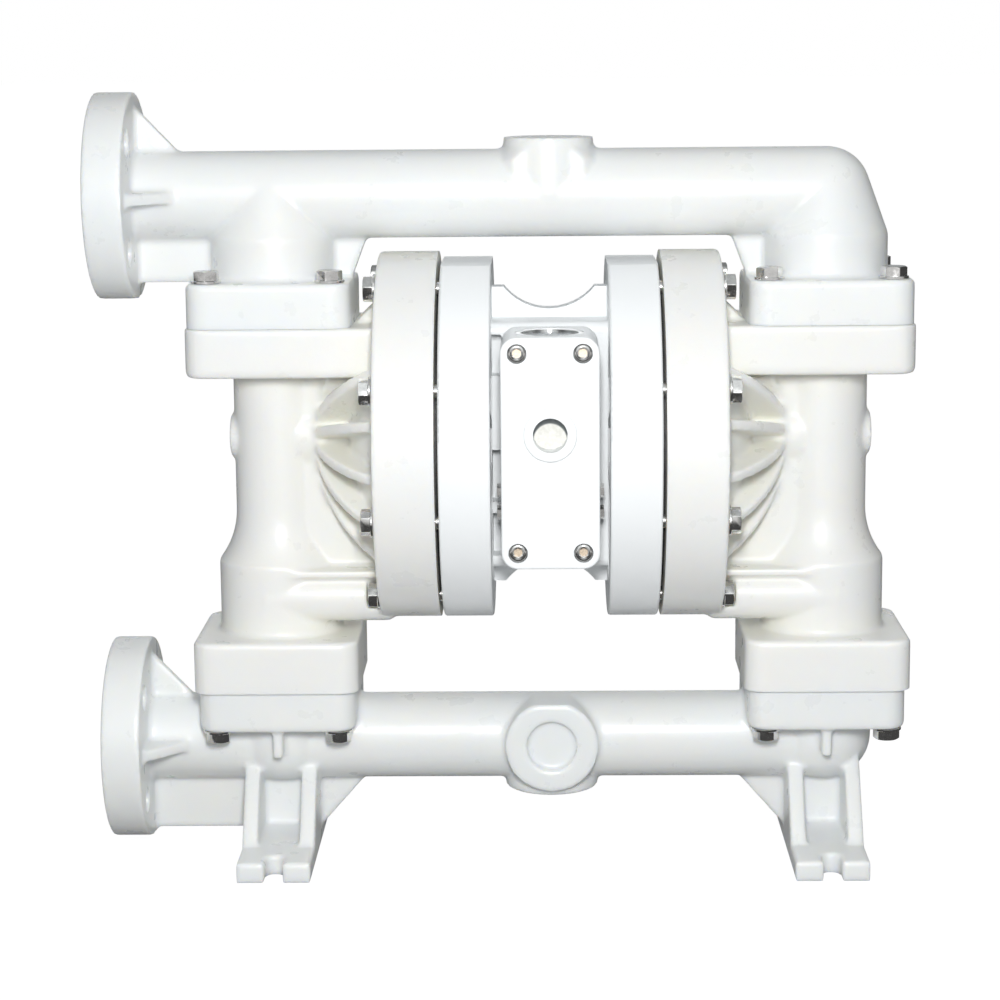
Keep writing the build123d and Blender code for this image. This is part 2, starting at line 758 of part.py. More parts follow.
def center_housing():
    z = pump_axis_z
    depth = housing_half_depth
    case = block((-air_ring_inner_x, air_ring_inner_x), (-depth, depth), (housing_bottom_z, housing_top_z))
    case = fillet(case.edges().filter_by(Axis.X), housing_edge_radius)
    body = case + saddle_web()
    body += rod_x(spigot_radius, -air_ring_inner_x - spigot_reach, air_ring_inner_x + spigot_reach, z=z)
    exhaust = rod_y(exhaust_boss_radius, 0, depth + exhaust_boss_reach, z=z)
    body += fillet(exhaust.edges().filter_by(GeomType.CIRCLE).sort_by(Axis.Y)[-1], 1.2)

    # Cored pockets beside the valve, and across from them in the back
    for low, high in side_pocket_heights:
        mouth = RectangleRounded(2 * side_pocket_width, high - low, side_pocket_corner)
        for side, floor_y in ((-1, side_pocket_depth - depth), (1, depth + 1)):
            place = Pos(side * air_ring_inner_x, floor_y, (low + high) / 2)
            body -= place * extrude(Plane.XZ * mouth, side_pocket_depth + 1)

    # Shaft, pilot, exhaust and air passages
    half = air_ring_inner_x + spigot_reach
    body -= rod_x(shaft_radius + 0.4, -half - 1, half + 1, z=z)
    seat_start = half - bushing_length - shaft_seal_length - 1
    for side in (-1, 1):
        body -= rod_x(bushing_outer_radius + running_fit, side * seat_start, side * (half + 1), z=z)
    body -= rod_x(pilot_sleeve_outer_radius + running_fit, -half, half, 0, z + pilot_offset)
    exhaust_face = depth + exhaust_boss_reach
    body -= rod_y(port_thread_radius, exhaust_face - exhaust_port_depth, exhaust_face + 1, z=z)
    crossing = -passage_y_inside()
    for side in (-1, 1):
        x = side * passage_x
        body -= rod_y(passage_radius, -depth - 1, crossing, x, z + passage_z_offset)
        body -= rod_x(passage_radius, x, side * (air_ring_inner_x + 1), crossing, z + passage_z_offset)

    # Tapped holes for the air cap screws and the valve screws
    thread_radius = m6_radius + running_fit
    thread_end = air_ring_inner_x - cap_screw_length
    for y, screw_z in around_pump_axis(cap_screw_circle_radius, cap_screw_count, 45):
        for side in (-1, 1):
            body -= rod_x(thread_radius, side * thread_end, side * (half + 1), y, screw_z)
    screw_end = block_front_y + m6_head_height + 0.4 + valve_screw_length
    for x, dz in valve_screw_places():
        body -= rod_y(thread_radius, -depth - 1, screw_end + 2, x, block_middle_z + dz)
    return body


def valve_screw_places():
    return [(x, dz) for x in (-valve_screw_x, valve_screw_x) for dz in (-valve_screw_z, valve_screw_z)]


# Air valve
def valve_outline(margin):
    return Pos(0, block_middle_z) * RectangleRounded(
        2 * (block_half_width - margin), 2 * (block_half_height - margin), block_corner_radius - margin
    )


def valve_block():
    body = Pos(0, block_back_y, 0) * extrude(Plane.XZ * valve_outline(0), block_back_y - block_front_y)
    body = fillet(body.faces().sort_by(Axis.Y)[0].edges(), block_edge_radius)
    inlet_face = block_front_y - inlet_ring_height
    ring = rod_y(inlet_ring_radius, inlet_face, block_front_y + 1, z=inlet_z)
    body += fillet(ring.edges().filter_by(GeomType.CIRCLE).sort_by(Axis.Y)[0], inlet_ring_edge)
    bore = sleeve_outer_radius + seat_gap
    body -= rod_z(bore, block_bottom_z - 1, block_top_z + 1, y=spool_y)
    body -= rod_y(port_thread_radius, inlet_face - 1, inlet_face + inlet_depth, z=inlet_z)
    body -= rod_y(passage_radius, inlet_face + 1, spool_y, z=inlet_passage_z)
    for face_z, inward in ((block_top_z, -1), (block_bottom_z, 1)):
        floor_z = face_z + inward * end_cap_depth
        body -= rod_z(end_cap_radius + seat_gap, floor_z, face_z - inward, y=spool_y)
        ring_z = floor_z - inward * end_cap_thickness
        body -= rod_z(
            end_cap_radius + retaining_ring_bite + seat_gap,
            ring_z,
            ring_z - inward * retaining_ring_thickness,
            y=spool_y,
        )
    head_floor = block_front_y + m6_head_height + 0.4
    for x, dz in valve_screw_places():
        body -= rod_y(m6_head_radius + 0.25, block_front_y - 1, head_floor, x, block_middle_z + dz)
        body -= rod_y(m6_hole_radius, head_floor - 1, block_back_y + 1, x, block_middle_z + dz)
    passage_z = pump_axis_z + passage_z_offset
    plug_radius = m6_radius + running_fit
    for side in (-1, 1):
        body -= rod_y(passage_radius, spool_y + 8, block_back_y + 1, side * (passage_x - 4), passage_z)
        side_face = side * block_half_width
        for plug_z in side_plug_heights:
            body -= rod_x(plug_radius, side_face - side * 7, side_face + side, side_plug_y, plug_z)
    return body


def valve_gasket():
    sheet = extrude(Plane.XZ * valve_outline(gasket_margin), gasket_thickness)
    sheet = Pos(0, -housing_half_depth, 0) * sheet
    front = block_back_y - 1
    back = 1 - housing_half_depth
    for x, dz in valve_screw_places():
        sheet -= rod_y(m6_hole_radius, front, back, x, block_middle_z + dz)
    z = pump_axis_z + passage_z_offset
    for side in (-1, 1):
        span = sorted((side * (passage_x - 4), side * passage_x))
        slot = block(span, (front, back), (z - passage_radius, z + passage_radius))
        sheet -= [slot, *[rod_y(passage_radius, front, back, x, z) for x in span]]
    return sheet


def sleeve_span():
    return (block_bottom_z + end_cap_depth + seat_gap, block_top_z - end_cap_depth - seat_gap)


def spool_sleeve():
    low, high = sleeve_span()
    sleeve = rod_z(sleeve_outer_radius, low, high, y=spool_y)
    sleeve -= rod_z(sleeve_bore_radius, low - 1, high + 1, y=spool_y)
    port_z = pump_axis_z + passage_z_offset
    for side in (-1, 1):
        sleeve -= rod_y(passage_radius - 1, spool_y, spool_y + sleeve_outer_radius + 1, side * 5, port_z)
    sleeve -= rod_y(passage_radius, spool_y - sleeve_outer_radius - 1, spool_y, 0, inlet_passage_z)
    return sleeve


def air_spool():
    """Spool with lands that run in the sleeve, resting at the bottom of its travel."""
    low, high = sleeve_span()
    bottom = low + 0.3
    length = high - low - spool_travel - 0.6
    spool = rod_z(sleeve_bore_radius - running_fit, bottom, bottom + length, y=spool_y)
    middle = bottom + length / 2
    half = spool_groove_length / 2
    for step in (-1, 0, 1):
        centre = middle + step * spool_groove_pitch
        groove = rod_z(sleeve_bore_radius + 1, centre - half, centre + half, y=spool_y)
        spool -= groove - rod_z(spool_groove_radius, centre - 2 * half, centre + 2 * half, y=spool_y)
    return spool


def spool_end_pieces():
    """Caps, retaining rings and seals at both ends of the spool bore."""
    caps = []
    rings = []
    seals = []
    seal_radius = (sleeve_outer_radius + end_cap_radius) / 2
    for face_z, inward in ((block_top_z, -1), (block_bottom_z, 1)):
        floor_z = face_z + inward * end_cap_depth
        cap_out = floor_z - inward * end_cap_thickness
        cap = rod_z(end_cap_radius, floor_z, cap_out, y=spool_y)
        cap -= rod_z(seal_radius + 1.4, floor_z, floor_z - inward * 1.8, y=spool_y) - rod_z(
            seal_radius - 1.4, floor_z + inward, floor_z - inward * 3, y=spool_y
        )
        caps.append(cap)
        ring_out = cap_out - inward * retaining_ring_thickness
        outer = end_cap_radius + retaining_ring_bite
        ring = rod_z(outer, cap_out, ring_out, y=spool_y)
        ring -= rod_z(outer - retaining_ring_width, cap_out + inward, ring_out - inward, y=spool_y)
        ring -= block((-3, 3), (spool_y - outer - 1, spool_y - outer + 6), sorted((cap_out, ring_out)))
        rings.append(ring)
        seals.append(Pos(0, spool_y, floor_z - inward * 0.9) * Torus(seal_radius, 0.9))
    return group(caps), group(rings), group(seals)


# Shaft group, in its middle position
def diaphragm_shaft():
    shaft = rod_x(shaft_radius, -shaft_half_length, shaft_half_length, z=pump_axis_z)
    shaft = chamfer(shaft.edges().filter_by(GeomType.CIRCLE), 0.8)
    stud_end = shaft_half_length + stud_length
    return shaft + rod_x(stud_radius, -stud_end, stud_end, z=pump_axis_z)


def shaft_bushings():
    start = air_ring_inner_x + spigot_reach - bushing_length - shaft_seal_length - 0.9
    bush = rod_x(bushing_outer_radius, start, start + bushing_length, z=pump_axis_z)
    bush -= rod_x(shaft_radius + running_fit, start - 1, start + bushing_length + 1, z=pump_axis_z)
    return both_sides(bush)


def shaft_seals():
    start = air_ring_inner_x + spigot_reach - shaft_seal_length - 0.4
    seal = rod_x(bushing_outer_radius, start, start + shaft_seal_length, z=pump_axis_z)
    seal -= rod_x(shaft_radius + 0.1, start - 1, start + shaft_seal_length + 1, z=pump_axis_z)
    return both_sides(seal)


def inner_plate():
    start = shaft_half_length
    end = start + inner_plate_thickness
    plate = rod_x(plate_radius, start, end, z=pump_axis_z)
    plate = fillet(plate.edges().filter_by(GeomType.CIRCLE).sort_by(Axis.X)[0], 3)
    return plate - rod_x(stud_radius + running_fit, start - 1, end + 1, z=pump_axis_z)


def outer_plate():
    """Domed plate on the liquid side, tapped from its back for the shaft's stud."""
    z = pump_axis_z
    start = diaphragm_front_x
    crown = start + outer_plate_thickness
    rim = start + outer_plate_rim
    middle = (start + outer_plate_thickness * 0.87, z + plate_radius * 0.55)
    outline = [
        Line((start, z), (start, z + plate_radius)),
        Line((start, z + plate_radius), (rim, z + plate_radius)),
        ThreePointArc((rim, z + plate_radius), middle, (crown, z + plate_radius * 0.12)),
        Line((crown, z + plate_radius * 0.12), (crown, z)),
        Line((crown, z), (start, z)),
    ]
    stud_end = shaft_half_length + stud_length
    return turned(outline, pump_axis) - rod_x(stud_radius + running_fit, start - 1, stud_end + 0.5, z=z)


def diaphragm():
    """Clamped disc with one convolution and a bead held between the rings."""
    z = pump_axis_z
    front = diaphragm_front_x
    back = diaphragm_back_x
    flex_start = z + plate_radius + 1.5
    flex_end = z + bead_inner_radius - 2.5
    flex_middle = (flex_start + flex_end) / 2
    bead_half = (fluid_ring_inner_x - air_ring_outer_x) / 2 + bead_overhang
    bead_low = z + bead_inner_radius
    bead_high = z + bead_outer_radius
    bore = z + stud_radius + running_fit
    lip_half = (fluid_ring_inner_x - air_ring_outer_x) / 2
    outline = [
        Line((back, bore), (front, bore)),
        Line((front, bore), (front, flex_start)),
        ThreePointArc((front, flex_start), (front + diaphragm_bulge, flex_middle), (front - 1, flex_end)),
        Line((front - 1, flex_end), (gap_centre_x + lip_half, bead_low)),
        Line((gap_centre_x + lip_half, bead_low), (gap_centre_x + bead_half, bead_low)),
        Line((gap_centre_x + bead_half, bead_low), (gap_centre_x + bead_half, bead_high)),
        Line((gap_centre_x + bead_half, bead_high), (gap_centre_x - bead_half, bead_high)),
        Line((gap_centre_x - bead_half, bead_high), (gap_centre_x - bead_half, bead_low)),
        Line((gap_centre_x - bead_half, bead_low), (gap_centre_x - lip_half, bead_low)),
        Line((gap_centre_x - lip_half, bead_low), (back + 1, flex_end)),
        ThreePointArc((back + 1, flex_end), (back + diaphragm_bulge, flex_middle), (back, flex_start)),
        Line((back, flex_start), (back, bore)),
    ]
    return turned(outline, pump_axis)


def pilot_pin():
    pin = rod_x(pilot_radius, -pilot_half_length, pilot_half_length, z=pump_axis_z + pilot_offset)
    return chamfer(pin.edges().filter_by(GeomType.CIRCLE), 0.6)


def pilot_sleeve():
    half = air_ring_inner_x + spigot_reach
    sleeve = rod_x(pilot_sleeve_outer_radius, -half, half, z=pump_axis_z + pilot_offset)
    return sleeve - rod_x(pilot_radius + running_fit, -half - 1, half + 1, z=pump_axis_z + pilot_offset)


# Ball checks
def seat(x, bottom_z):
    """Seat ring with a spherical lip for the ball and a step for its seal."""
    top_z = bottom_z + seat_height
    ring = rod_z(seat_outer_radius, bottom_z, top_z, x)
    ring -= rod_z(seat_bore_radius, bottom_z - 1, top_z + 1, x)
    ring -= Pos(x, 0, top_z + ball_height) * Sphere(ball_radius + 0.05)
    step = seal_circle_radius - seal_section_radius - seat_gap
    ledge = rod_z(seat_outer_radius + 1, top_z - 2 * seal_section_radius, top_z + 1, x)
    return ring - (ledge - rod_z(step, top_z - 5, top_z + 2, x))


def seat_seal(x, bottom_z):
    top_z = bottom_z + seat_height
    return Pos(x, 0, top_z - seal_section_radius) * Torus(seal_circle_radius, seal_section_radius)


def ball(x, seat_top_z):
    return Pos(x, 0, seat_top_z + ball_height) * Sphere(ball_radius)


# Fasteners
def hex_bolt(length):
    """Hex bolt along Z, with the underside of its head at the origin."""
    head = extrude(RegularPolygon(m8_head_flats / 2, 6, major_radius=False), m8_head_height)
    crown = Pos(0, 0, m8_head_height / 2) * Cylinder(m8_head_flats / 2 * 1.09, m8_head_height)
    crown = chamfer(crown.edges().filter_by(GeomType.CIRCLE).sort_by(Axis.Z)[-1], 0.9)
    return (head & crown) + Pos(0, 0, -length / 2) * Cylinder(m8_radius, length)


def washer():
    disc = Pos(0, 0, m8_washer_thickness / 2) * Cylinder(m8_washer_radius, m8_washer_thickness)
    return disc - Cylinder(m8_radius + 0.2, 4 * m8_washer_thickness)


def insert():
    """Threaded insert, its top at the origin."""
    body = Pos(0, 0, -insert_length / 2) * Cylinder(insert_radius, insert_length)
    return body - Pos(0, 0, -insert_length / 2) * Cylinder(m8_radius + running_fit, insert_length + 2)


def socket_screw(length, head_height):
    """Socket head screw along Z, with the underside of its head at the origin."""
    head = Pos(0, 0, head_height / 2) * Cylinder(m6_head_radius, head_height)
    head = chamfer(head.edges().filter_by(GeomType.CIRCLE).sort_by(Axis.Z)[-1], 0.5)
    depth = head_height * 0.55
    head -= Pos(0, 0, head_height - depth) * extrude(
        RegularPolygon(m6_socket_flats / 2, 6, major_radius=False), depth + 1
    )
    return head + Pos(0, 0, -length / 2) * Cylinder(m6_radius, length)


def flange_places(z, turn):
    """Places of the joint fasteners, pointing up or turned over."""
    places = []
    for x in (-branch_x, branch_x):
        for dx, dy in corners(joint_bolt_offset):
            places.append(Pos(x + dx, dy, z) * Rot(turn, 0, 0))
    return places


def ring_places(x):
    """Places of the ring fasteners of the right-hand cap, pointing to +X."""
    spots = around_pump_axis(ring_bolt_circle_radius, ring_bolt_count, ring_bolt_first_angle)
    return [Pos(x, y, z) * Rot(0, 90, 0) for y, z in spots]


def side_plugs():
    head = extrude(RegularPolygon(side_plug_flats / 2, 6, major_radius=False), side_plug_head)
    plug = head + rod_z(m6_radius, -side_plug_length, 0)
    plugs = []
    for side in (-1, 1):
        for z in side_plug_heights:
            plugs.append(Pos(side * block_half_width, side_plug_y, z) * Rot(0, side * 90, 0) * plug)
    return group(plugs)


def save(name, shape):
    export_step(shape, f"parts/{name}.step")


def build():
    os.makedirs("parts", exist_ok=True)
    save("discharge_manifold", discharge_manifold())
    save("suction_manifold", suction_manifold())
    handed = {
        "fluid_cap": fluid_cap(),
        "air_cap": air_cap(),
        "inner_plate": inner_plate(),
        "outer_plate": outer_plate(),
        "diaphragm": diaphragm(),
        "discharge_seat": seat(branch_x, joint_top_z - seat_height),
        "suction_seat": seat(branch_x, joint_bottom_z - seat_height),
        "discharge_ball": ball(branch_x, joint_top_z),
        "suction_ball": ball(branch_x, joint_bottom_z),
    }
    for name, shape in handed.items():
        save(f"right_{name}", shape)
        save(f"left_{name}", mirror(shape, Plane.YZ))
    save("center_housing", center_housing())
    save("valve_block", valve_block())
    save("valve_gasket", valve_gasket())
    save("spool_sleeve", spool_sleeve())
    save("air_spool", air_spool())
    caps, rings, seals = spool_end_pieces()
    save("spool_end_caps", caps)
    save("retaining_rings", rings)
    save("spool_seals", seals)
    save("diaphragm_shaft", diaphragm_shaft())
    save("shaft_bushings", shaft_bushings())
    save("shaft_seals", shaft_seals())
    save("pilot_pin", pilot_pin())
    save("pilot_sleeve", pilot_sleeve())
    seats = [(side * branch_x, z) for side in (-1, 1) for z in (joint_top_z, joint_bottom_z)]
    save("seat_seals", group([seat_seal(x, z - seat_height) for x, z in seats]))

    # Fasteners
    top_head_z = discharge_flange_top_z + m8_washer_thickness
    low_head_z = suction_flange_bottom_z - m8_washer_thickness
    bolt = hex_bolt(joint_bolt_length)
    save("discharge_bolts", group([place * bolt for place in flange_places(top_head_z, 0)]))
    save("suction_bolts", group([place * bolt for place in flange_places(low_head_z, 180)]))
    disc = washer()
    save("discharge_washers", group([place * disc for place in flange_places(discharge_flange_top_z, 0)]))
    save("suction_washers", group([place * disc for place in flange_places(suction_flange_bottom_z, 180)]))
    sleeve = insert()
    top_inserts = [place * sleeve for place in flange_places(joint_top_z - 0.3, 0)]
    low_inserts = [place * sleeve for place in flange_places(joint_bottom_z + 0.3, 180)]
    save("flange_inserts", group(top_inserts + low_inserts))
    ring_head_x = fluid_ring_outer_x + m8_washer_thickness
    long_bolt = hex_bolt(ring_bolt_length)
    ring_bolts = group([place * long_bolt for place in ring_places(ring_head_x)])
    save("right_ring_bolts", ring_bolts)
    save("left_ring_bolts", mirror(ring_bolts, Plane.YZ))
    save("ring_washers", both_sides(group([place * disc for place in ring_places(fluid_ring_outer_x)])))
    insert_places = ring_places(air_ring_outer_x - 0.3)
    save("ring_inserts", both_sides(group([place * sleeve for place in insert_places])))
    head_y = block_front_y + m6_head_height + 0.4
    screw = Rot(90, 0, 0) * socket_screw(valve_screw_length, m6_head_height)
    screw_spots = [Pos(x, head_y, block_middle_z + dz) for x, dz in valve_screw_places()]
    save("valve_screws", group([spot * screw for spot in screw_spots]))
    low_screw = Rot(0, 90, 0) * socket_screw(cap_screw_length, cap_screw_head_height)
    screw_x = air_floor_x - cap_screw_head_height
    spots = around_pump_axis(cap_screw_circle_radius, cap_screw_count, 45)
    save("air_cap_screws", both_sides(group([Pos(screw_x, y, z) * low_screw for y, z in spots])))
    save("side_plugs", side_plugs())


build()
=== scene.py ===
import json
import math

import bpy
from mathutils import Matrix, Vector


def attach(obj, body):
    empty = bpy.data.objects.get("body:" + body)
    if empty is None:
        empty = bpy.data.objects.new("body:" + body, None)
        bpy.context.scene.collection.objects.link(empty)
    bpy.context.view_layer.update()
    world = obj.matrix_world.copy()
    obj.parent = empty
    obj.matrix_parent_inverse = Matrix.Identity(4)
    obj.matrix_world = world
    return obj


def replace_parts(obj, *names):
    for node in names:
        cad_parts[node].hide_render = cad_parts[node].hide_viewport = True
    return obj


# Air operated diaphragm pump. Sizes are in millimetres and MM scales them to metres.
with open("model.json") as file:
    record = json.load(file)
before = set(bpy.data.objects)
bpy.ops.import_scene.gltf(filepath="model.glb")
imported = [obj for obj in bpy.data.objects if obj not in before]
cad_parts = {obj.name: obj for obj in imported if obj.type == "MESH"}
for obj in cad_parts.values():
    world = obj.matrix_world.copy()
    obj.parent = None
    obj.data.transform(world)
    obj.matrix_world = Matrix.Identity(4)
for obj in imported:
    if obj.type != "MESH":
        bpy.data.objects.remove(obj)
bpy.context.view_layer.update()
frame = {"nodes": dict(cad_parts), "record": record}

MM = 0.001
# Voxel of the moulded skins, and the most triangles that one of them keeps
SKIN = 1.3
MOST_TRIANGLES = 185000
CAP_TRIANGLES = 170000

# Pump and pipes
PUMP_AXIS_Z = 240.0
BRANCH_X = 155.0
DISCHARGE_AXIS_Z = 376.0
SUCTION_AXIS_Z = 64.0
PIPE_RADIUS = 24.5
PASSAGE_RADIUS = 14.0
WEB_HALF = 3.5

# Port flanges
PORT_FACE_X = -253.0
PORT_BACK_X = -231.0
PORT_FLANGE_RADIUS = 57.5
PORT_BORE_RADIUS = 13.0
PORT_BORE_DEPTH = 40.0
PORT_BOLT_RADIUS = 7.0
PORT_BOLT_CIRCLE_RADIUS = 42.5
GUSSET_HALF = 3.4

# Joints between the caps and the manifolds: joint planes, outer faces of the flanges, bolts
DISCHARGE_JOINT_Z = 305.0
DISCHARGE_FACE_Z = 329.5
CAP_TOP_FACE_Z = 277.5
SUCTION_JOINT_Z = 99.5
SUCTION_FACE_Z = 76.4
CAP_LOW_FACE_Z = 128.4
JOINT_BOLT_OFFSET = 34
JOINT_BOLT_LENGTH = 45
# Forms start this far past a joint plane, then the plane trims them
PAST_JOINT = 4

# Ball cages, with the counterbore of their seats
CAGE_RADIUS = 24.8
SEAT_RADIUS = 24.6

# Manifold branches, bosses and feet
BRANCH_RADIUS = 34.6
BRANCH_COLLAR_Z = 352.5
TOP_BOSS_RADIUS = 25
TOP_BOSS_FLARE_RADIUS = 30
LOW_BOSS_RADIUS = 26.5
FOOT_HALF_WIDTH = 20.7
FOOT_REACH = 80.3
FOOT_PAD_HEIGHT = 11.5
FOOT_RIB = 9
FOOT_SLOT_RADIUS = 5
FOOT_SLOT_Y = 69.3

# Fluid caps
RING_RADIUS = 103.5
RING_FACE_X = 95.5
RING_BACK_X = 62
RING_BOLT_RADIUS = 92.8
RING_BOLT_LENGTH = 55
RIB_HALF = 3
RIB_BALL_RADIUS = 99.8
RIB_BALL_X = 34.4
COLUMN_RADIUS = 24.25
NECK_RADIUS = 34.5
NECK_FLARE = 46.0
NECK_FLARE_Z = 198

# Fasteners
HEX_FLATS = 13
WASHER = 1.6
HEAD_HEIGHT = 5.3
# Each bolt of a set is turned by this many degrees more than the one before
BOLT_TURN = 23
COVER_SCREW_X = 17.6
COVER_SCREW_Z = (188.6, 296.2)
INLET_Z = 252.6
SCREEN_SHADE_Z = 248.4

# Key lamp above the camera, its size in metres
KEY_PLACE = (0, -1100, 560)
KEY_DIRECTION = (0, 1, -0.32)
KEY_STRENGTH = 9.2
KEY_SIZE = (0.09, 0.2)
# Direction of each sun's light, its strength and its softness in degrees
SUNS = {
    "top": ((0, 0, -1), 0.7, 60),
    "left": ((1, 0, 0), 0.4, 30),
    "right": ((-1, 0, 0), 0.2, 30),
    "back": ((0, -1, -0.2), 1.7, 30),
}

AXES = {"X": Vector((1, 0, 0)), "Y": Vector((0, 1, 0)), "Z": Vector((0, 0, 1))}
TURNS = {"X": (0, math.pi / 2, 0), "Y": (-math.pi / 2, 0, 0), "Z": (0, 0, 0)}


def let_go():
    """Leave edit mode with nothing selected."""
    if bpy.context.object and bpy.context.object.mode == "EDIT":
        bpy.ops.object.mode_set(mode="OBJECT")
    bpy.ops.object.select_all(action="DESELECT")


def pick(form):
    """Select one form alone and make it active."""
    let_go()
    form.select_set(True)
    bpy.context.view_layer.objects.active = form


def place(*point):
    """A point in millimetres as a vector in metres."""
    return Vector(point) * MM


def close_up(form):
    """Merge doubles and point the faces outwards, then leave edit mode."""
    bpy.ops.mesh.select_all(action="SELECT")
    bpy.ops.mesh.remove_doubles(threshold=0.00001)
    bpy.ops.mesh.normals_make_consistent(inside=False)
    bpy.ops.object.mode_set(mode="OBJECT")
    bpy.ops.object.transform_apply(location=True, rotation=True, scale=True)
    return form


def turned(outline, axis, centre=(0, 0, 0), sides=96):
    """A turned form: a disc drawn out along the axis through (distance, radius) pairs."""
    let_go()
    along = AXES[axis]
    origin = Vector(centre) * (Vector((1, 1, 1)) - along)
    distance, radius = outline[0]
    bpy.ops.mesh.primitive_circle_add(
        vertices=sides,
        radius=radius * MM,
        fill_type="NGON",
        location=(origin + along * distance) * MM,
        rotation=TURNS[axis],
    )
    form = bpy.context.object
    bpy.ops.object.mode_set(mode="EDIT")
    bpy.ops.mesh.select_all(action="SELECT")
    for next_distance, next_radius in outline[1:]:
        step = along * (next_distance - distance) * MM
        bpy.ops.mesh.extrude_region_move(TRANSFORM_OT_translate={"value": step})
        if next_radius != radius:
            grow = next_radius / radius
            size = [1 if along[i] else grow for i in range(3)]
            middle = (origin + along * next_distance) * MM
            bpy.ops.transform.resize(value=size, center_override=middle)
        distance, radius = next_distance, next_radius
    return close_up(form)


def slab(x_span, y_span, z_span):
    """A rectangular form between two corners."""
    let_go()
    low, high = (Vector(corner) for corner in zip(x_span, y_span, z_span))
    bpy.ops.mesh.primitive_cube_add(size=1, location=(low + high) / 2 * MM, scale=(high - low) * MM)
    form = bpy.context.object
    bpy.ops.object.transform_apply(location=True, rotation=True, scale=True)
    return form


def choose_edges(form, keep):
    """Select only the edges whose two ends pass the test."""
    bpy.ops.object.mode_set(mode="EDIT")
    bpy.ops.mesh.select_mode(type="EDGE")
    bpy.ops.mesh.select_all(action="DESELECT")
    bpy.ops.object.mode_set(mode="OBJECT")
    points = form.data.vertices
    for edge in form.data.edges:
        a, b = (points[i].co / MM for i in edge.vertices)
        edge.select = keep(a, b)
    bpy.ops.object.mode_set(mode="EDIT")


def runs_along(axis):
    """Test that keeps the edges parallel to the axis."""
    along = AXES[axis]
    return lambda a, b: abs((b - a).normalized().dot(along)) > 0.99


def eased(form, width, keep, steps=4):
    """Round the chosen edges over."""
    pick(form)
    choose_edges(form, keep)
    bpy.ops.mesh.bevel(offset=width * MM, segments=steps, affect="EDGES")
    bpy.ops.mesh.select_mode(type="VERT")
    bpy.ops.object.mode_set(mode="OBJECT")
    return form


def traced(points, axis, start, end):
    """A flat outline traced point by point, filled, and drawn out along the axis."""
    let_go()
    along = AXES[axis]
    rest = [i for i in range(3) if not along[i]]
    spots = []
    for u, v in points:
        spot = along * start
        spot[rest[0]] = u
        spot[rest[1]] = v
        spots.append(spot * MM)
    bpy.ops.mesh.primitive_plane_add(size=0.001, location=spots[0])
    form = bpy.context.object
    bpy.ops.object.mode_set(mode="EDIT")
    bpy.ops.mesh.select_all(action="SELECT")
    bpy.ops.mesh.merge(type="CENTER")
    for before, after in zip(spots, spots[1:]):
        bpy.ops.mesh.extrude_region_move(TRANSFORM_OT_translate={"value": after - before})
    bpy.ops.mesh.select_all(action="SELECT")
    bpy.ops.mesh.edge_face_add()
    depth = along * (end - start) * MM
    bpy.ops.mesh.extrude_region_move(TRANSFORM_OT_translate={"value": depth})
    return close_up(form)


def joined(name, forms):
    """Several forms as one object."""
    let_go()
    for form in forms:
        form.select_set(True)
    bpy.context.view_layer.objects.active = forms[0]
    bpy.ops.object.join()
    form = bpy.context.object
    form.name = name
    form.data.name = name
    return form


def finish_with(form, kind, **settings):
    """Add a modifier, set it and apply it."""
    pick(form)
    modifier = form.modifiers.new(kind.title(), kind)
    for key, value in settings.items():
        setattr(modifier, key, value)
    bpy.ops.object.modifier_apply(modifier=modifier.name)
    return form


def cut_out(form, tools):
    """Cut the joined tools out of the form."""
    tool = joined("cutter", tools) if len(tools) > 1 else tools[0]
    finish_with(form, "BOOLEAN", operation="DIFFERENCE", object=tool, solver="EXACT")
    bpy.data.objects.remove(tool)
    return form


def moulded(name, forms, hollows=()):
    """One moulded skin over the overlapping forms, hollowed out and with soft corners."""
    skin = {"mode": "VOXEL", "voxel_size": SKIN * MM, "use_smooth_shade": True}
    body = joined(name, forms)
    finish_with(body, "REMESH", **skin)
    if hollows:
        cut_out(body, list(hollows))
        finish_with(body, "REMESH", **skin)
    finish_with(body, "SMOOTH", factor=0.5, iterations=3)
    return body


def trimmed(form, point, normal):
    """Slice off what lies beyond a plane and close the cut."""
    pick(form)
    bpy.ops.object.mode_set(mode="EDIT")
    bpy.ops.mesh.select_all(action="SELECT")
    bpy.ops.mesh.bisect(
        plane_co=place(*point), plane_no=normal, use_fill=True, clear_outer=True, threshold=0.000001
    )
    bpy.ops.object.mode_set(mode="OBJECT")
    return form


def under_limit(form, most=MOST_TRIANGLES):
    """Thin the skin evenly where it has more triangles than a piece may have."""
    count = sum(len(face.vertices) - 2 for face in form.data.polygons)
    if count > most:
        finish_with(form, "DECIMATE", ratio=most / count)
    return form


def smooth_faces(form, angle=35):
    """Shade smooth, with sharp edges above the angle."""
    pick(form)
    bpy.ops.object.shade_smooth_by_angle(angle=math.radians(angle))
    return form


def mirrored(form, name):
    """A copy turned over to the other side of the pump's middle."""
    pick(form)
    bpy.ops.object.duplicate()
    copy = bpy.context.object
    copy.name = name
    copy.data.name = name
    copy.scale.x = -1
    bpy.ops.object.transform_apply(location=False, rotation=False, scale=True)
    bpy.ops.object.mode_set(mode="EDIT")
    bpy.ops.mesh.select_all(action="SELECT")
    bpy.ops.mesh.normals_make_consistent(inside=False)
    bpy.ops.object.mode_set(mode="OBJECT")
    return copy


